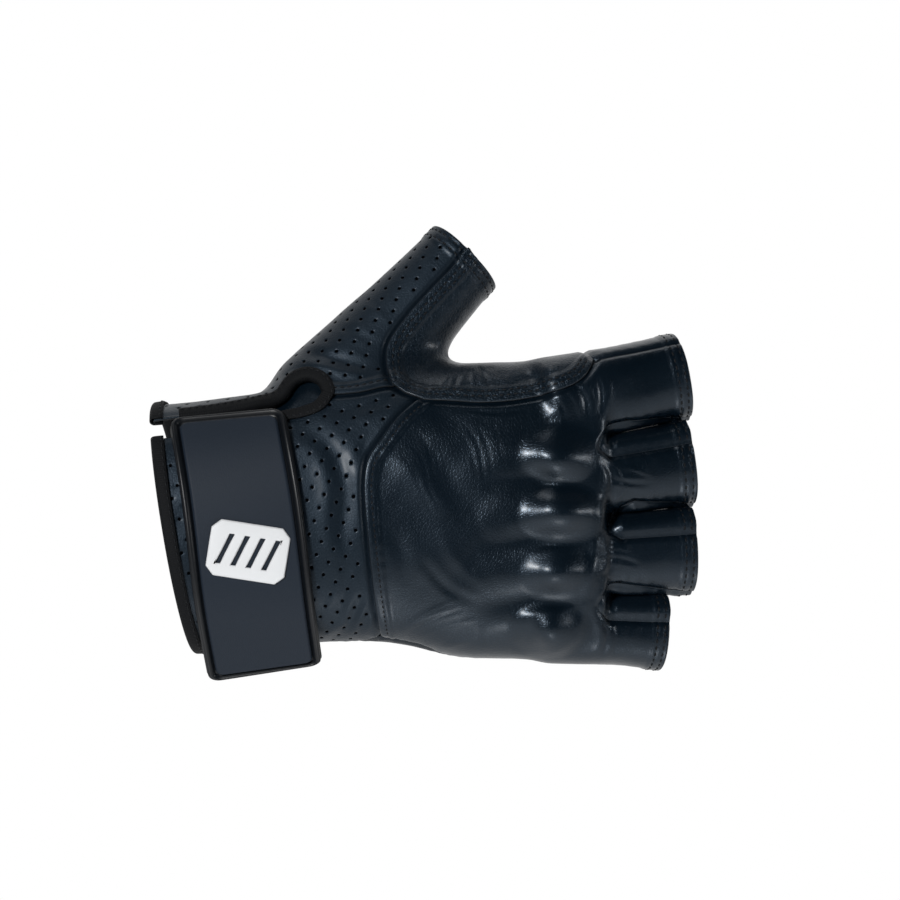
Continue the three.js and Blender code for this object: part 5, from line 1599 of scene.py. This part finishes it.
def leather(name, colours, rough, pebble=0.95, strength=0.3, coat=0.28, lattice=None):
    """Hide whose tone and shine change from place to place, with suede inside and painted shade in holes.
    """
    material, tree, shader = new_material(name)
    place = add_node(tree, "ShaderNodeTexCoord").outputs["Object"]
    inside = add_node(tree, "ShaderNodeAttribute", attribute_name="inside").outputs["Fac"]
    patchy = noise(tree, place, 28, 2.0)
    hide = mix(tree, patchy, linear(colours[0]), linear(colours[1]), colours=True)
    looks = {
        "Base Color": mix(tree, inside, hide, linear(SUEDE), colours=True),
        "Roughness": mix(tree, inside, ramp(tree, patchy, 0.3, 0.7, rough - 0.05, rough + 0.07), 0.95),
        "Normal": grain(tree, place, pebble, strength),
        "Coat Weight": coat,
        "Coat Roughness": 0.24,
        "Specular IOR Level": 0.5,
        "Specular Tint": linear(SKY_TINT),
    }
    if lattice is not None:
        # Holes get painted shade: a near-black colour, and no coat or specular reflection.
        hole = hole_mask(tree, lattice)
        looks["Base Color"] = mix(tree, hole, looks["Base Color"], linear(HOLE_SHADE_COLOUR), colours=True)
        for socket in ("Coat Weight", "Specular IOR Level"):
            looks[socket] = mix(tree, hole, looks[socket], 0.0)
    fill(tree, shader, looks)
    return material


def hole_mask(tree, lattice):
    """1 in the round holes of a lattice on the flat coordinates, 0 beside them. Lattice coordinates are
    two dot products, their distance from whole numbers is turned back to mm, and its length says hole
    or leather."""
    steps = np.array(lattice, float)
    inverse = np.linalg.inv(steps)
    flat = add_node(tree, "ShaderNodeUVMap", uv_map="surface_mm").outputs[0]
    parts = []
    for k in range(2):
        dot = add_node(tree, "ShaderNodeVectorMath", {0: flat, 1: (*inverse[:, k], 0.0)},
                       operation="DOT_PRODUCT").outputs["Value"]
        parts.append(maths(tree, "SUBTRACT", dot, maths(tree, "ROUND", dot)))
    away = []
    for k in range(2):
        first = maths(tree, "MULTIPLY", parts[0], float(steps[0, k]))
        away.append(maths(tree, "MULTIPLY_ADD", parts[1], float(steps[1, k]), first))
    offset = add_node(tree, "ShaderNodeCombineXYZ", {0: away[0], 1: away[1]}).outputs[0]
    reach = add_node(tree, "ShaderNodeVectorMath", {0: offset}, operation="LENGTH").outputs["Value"]
    hole = ramp(tree, reach, HOLE_DARK, HOLE_EDGE, 1.0, 0.0)
    punched_here = add_node(tree, "ShaderNodeAttribute", attribute_name="punched").outputs["Fac"]
    return maths(tree, "MULTIPLY", hole, punched_here)


BLACK = ("#030b12", "#050f18")
smooth_leather = leather("smooth_leather", BLACK, 0.31)
strip_leather = leather("strip_leather", BLACK, 0.36)
palm_leather = leather("palm_leather", ("#0a0c0f", "#0e1013"), 0.5, strength=0.6, coat=0.03)
creased_leather = leather("creased_leather", BLACK, 0.36, strength=0.75)
wrist_leather = leather("wrist_leather", BLACK, 0.46, coat=0.08, lattice=WRIST_LATTICE)
thumb_leather = leather("thumb_leather", BLACK, 0.46, coat=0.08, lattice=THUMB_LATTICE)


# %% Tape, rubber, print and thread
def woven(name, colour, rib):
    """Ribs across a tape: a sine along its length, and a finer one across for the warp."""
    material, tree, shader = new_material(name)
    flat = add_node(tree, "ShaderNodeUVMap", uv_map="surface_mm").outputs[0]
    split = add_node(tree, "ShaderNodeSeparateXYZ", {0: flat})
    ribs, warp = (maths(tree, "SINE", maths(tree, "MULTIPLY", socket, 2 * math.pi / pitch))
                  for socket, pitch in ((split.outputs[0], rib), (split.outputs[1], rib * 0.6)))
    height = maths(tree, "MULTIPLY_ADD", warp, 0.4, ribs)
    fill(tree, shader, {"Base Color": linear(colour), "Roughness": 0.72, "Specular IOR Level": 0.15,
                        "Normal": bumps(tree, height, 0.35, 0.08)})
    return material


def moulded(name, colour, rough, cell, strength, shine=0.5):
    """Moulded rubber with a fine stipple."""
    material, tree, shader = new_material(name)
    place = add_node(tree, "ShaderNodeTexCoord").outputs["Object"]
    stipple = noise(tree, place, cell, 2.0)
    fill(tree, shader, {"Base Color": linear(colour), "Roughness": rough, "Specular IOR Level": shine,
                        "Normal": bumps(tree, stipple, strength, 0.1)})
    return material


tape_cloth = woven("tape_cloth", "#07090c", 0.75)
rubber = moulded("rubber", "#070b10", 0.4, 0.9, 0.12, 0.3)
field_rubber = moulded("field_rubber", "#0f1a26", 0.6, 0.35, 0.5, 0.25)
print_light = moulded("print_light", "#ced0d2", 0.5, 0.5, 0.15)
thread = moulded("thread", "#0a0d11", 0.6, 0.25, 0.4, 0.2)

# %% Dressing the frame
dressed(back_panel, "back_panel", smooth_leather)
dressed(web_panel, "thumb_web_panel", creased_leather)
dressed(index_strip, "index_side_strip", strip_leather)
dressed(gap_strips[0], "fourchette_index_middle", strip_leather)
dressed(gap_strips[1], "fourchette_middle_ring", strip_leather)
dressed(gap_strips[2], "fourchette_ring_little", strip_leather)
dressed(wrist_panel, "wrist_back_panel", wrist_leather)
dressed(thumb_panel, "thumb_back_panel", thumb_leather)
dressed(palm_panel, "palm_panel", palm_leather)
dressed(thumb_palm, "thumb_palm_panel", palm_leather)
dressed(cuff_tape, "cuff_binding", tape_cloth)
dressed(slit_tape, "slit_binding", tape_cloth)
dressed(gusset, "slit_gusset", strip_leather)
dressed(strap_border, "strap_band", rubber)
dressed(strap_field, "strap_patch", field_rubber)
dressed(badge, "strap_badge", print_light)
stitches.data.materials.append(thread)
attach(stitches, "root")

# %% [markdown]
# ## Floor, light and camera
#
# The glove is held up by its wrist opening and hangs well clear of the floor, so that no shadow falls on
# the paper behind it. Black leather shows its shape only by what it reflects. So the main light stands
# to the left of the lens, where the knuckle domes mirror it and the flat of the hand doesn't, a second
# one below draws their lower slopes, and two more give the edges. The camera looks straight at the back
# of the hand through a long lens, as the photograph does, so that the outline isn't changed by
# perspective.

# %% Stage
FLOOR_HALF, FLOOR_BELOW, FLOOR_GLOW = 3000, 900, 0.35
WHITE = (1, 1, 1, 1)
floor_points = np.array([(-1, -1, 0), (1, -1, 0), (1, 1, 0), (-1, 1, 0)], float) * FLOOR_HALF
floor_points[:, 2] = -FLOOR_BELOW
floor = mesh_object("floor", floor_points, np.array([(0, 1, 2, 3)]))
floor_material, tree, shader = new_material("floor_paper")
fill(tree, shader, {"Base Color": linear("#f2f2f2"), "Roughness": 0.9, "Emission Color": WHITE,
                    "Emission Strength": FLOOR_GLOW})
floor.data.materials.append(floor_material)

# White paper stands behind the glove and the room in front is dark. The paper itself is seen as white
# from everywhere.
world = bpy.data.worlds.new("studio")
bpy.context.scene.world = world
world.use_nodes = True
tree = world.node_tree
tree.nodes.clear()
direction = add_node(tree, "ShaderNodeTexCoord").outputs["Generated"]
towards = add_node(tree, "ShaderNodeSeparateXYZ", {0: direction}).outputs["Y"]
paper = ramp(tree, towards, -0.1, 0.5, 0.015, 1.0, "SMOOTHSTEP")
seen = add_node(tree, "ShaderNodeLightPath").outputs["Is Camera Ray"]
glow = add_node(tree, "ShaderNodeBackground", {0: WHITE, 1: mix(tree, seen, paper, 1.0)})
add_node(tree, "ShaderNodeOutputWorld", {0: glow.outputs[0]})
bpy.context.scene.view_settings.view_transform = "Standard"

# A light stands this many degrees to the right of the camera and above it, seen from the glove.
TARGET = np.array([90.0, 0.0, 0.0])
LIGHTS = table("right above away size power",
               (-25, 14, 1500, 220, 19.0),
               (14, -56, 1000, 260, 1.1),
               (-60, 75, 1300, 500, 2.0),
               (66, 6, 1300, 200, 2.4))
for i, (right, above, away, size, power) in enumerate(zip(*LIGHTS.values())):
    light = bpy.data.lights.new(f"softbox_{i}", "AREA")
    light.shape, light.size, light.energy = "SQUARE", size * MM, power
    lamp = in_scene(f"softbox_{i}", light)
    right, above = right * DEG, above * DEG
    way = np.array([math.sin(right) * math.cos(above), -math.cos(right) * math.cos(above),
                    math.sin(above)])
    lamp.location = (TARGET + away * way) * MM
    lamp.rotation_euler = (math.acos(way[2]), 0, math.atan2(-way[1], -way[0]) - math.pi / 2)

camera_data = bpy.data.cameras.new("camera")
camera = in_scene("camera", camera_data)
CAMERA_AWAY, CAMERA_X, CAMERA_Z, PHOTO_WIDE, SENSOR = 2000, 84.4, 25, 281.25, 36
camera_data.sensor_width = SENSOR
camera_data.lens = SENSOR * CAMERA_AWAY / PHOTO_WIDE
camera_data.clip_end = 20
camera.location = (CAMERA_X * MM, -CAMERA_AWAY * MM, CAMERA_Z * MM)
camera.rotation_euler = (math.pi / 2, 0, 0)
bpy.context.scene.camera = camera
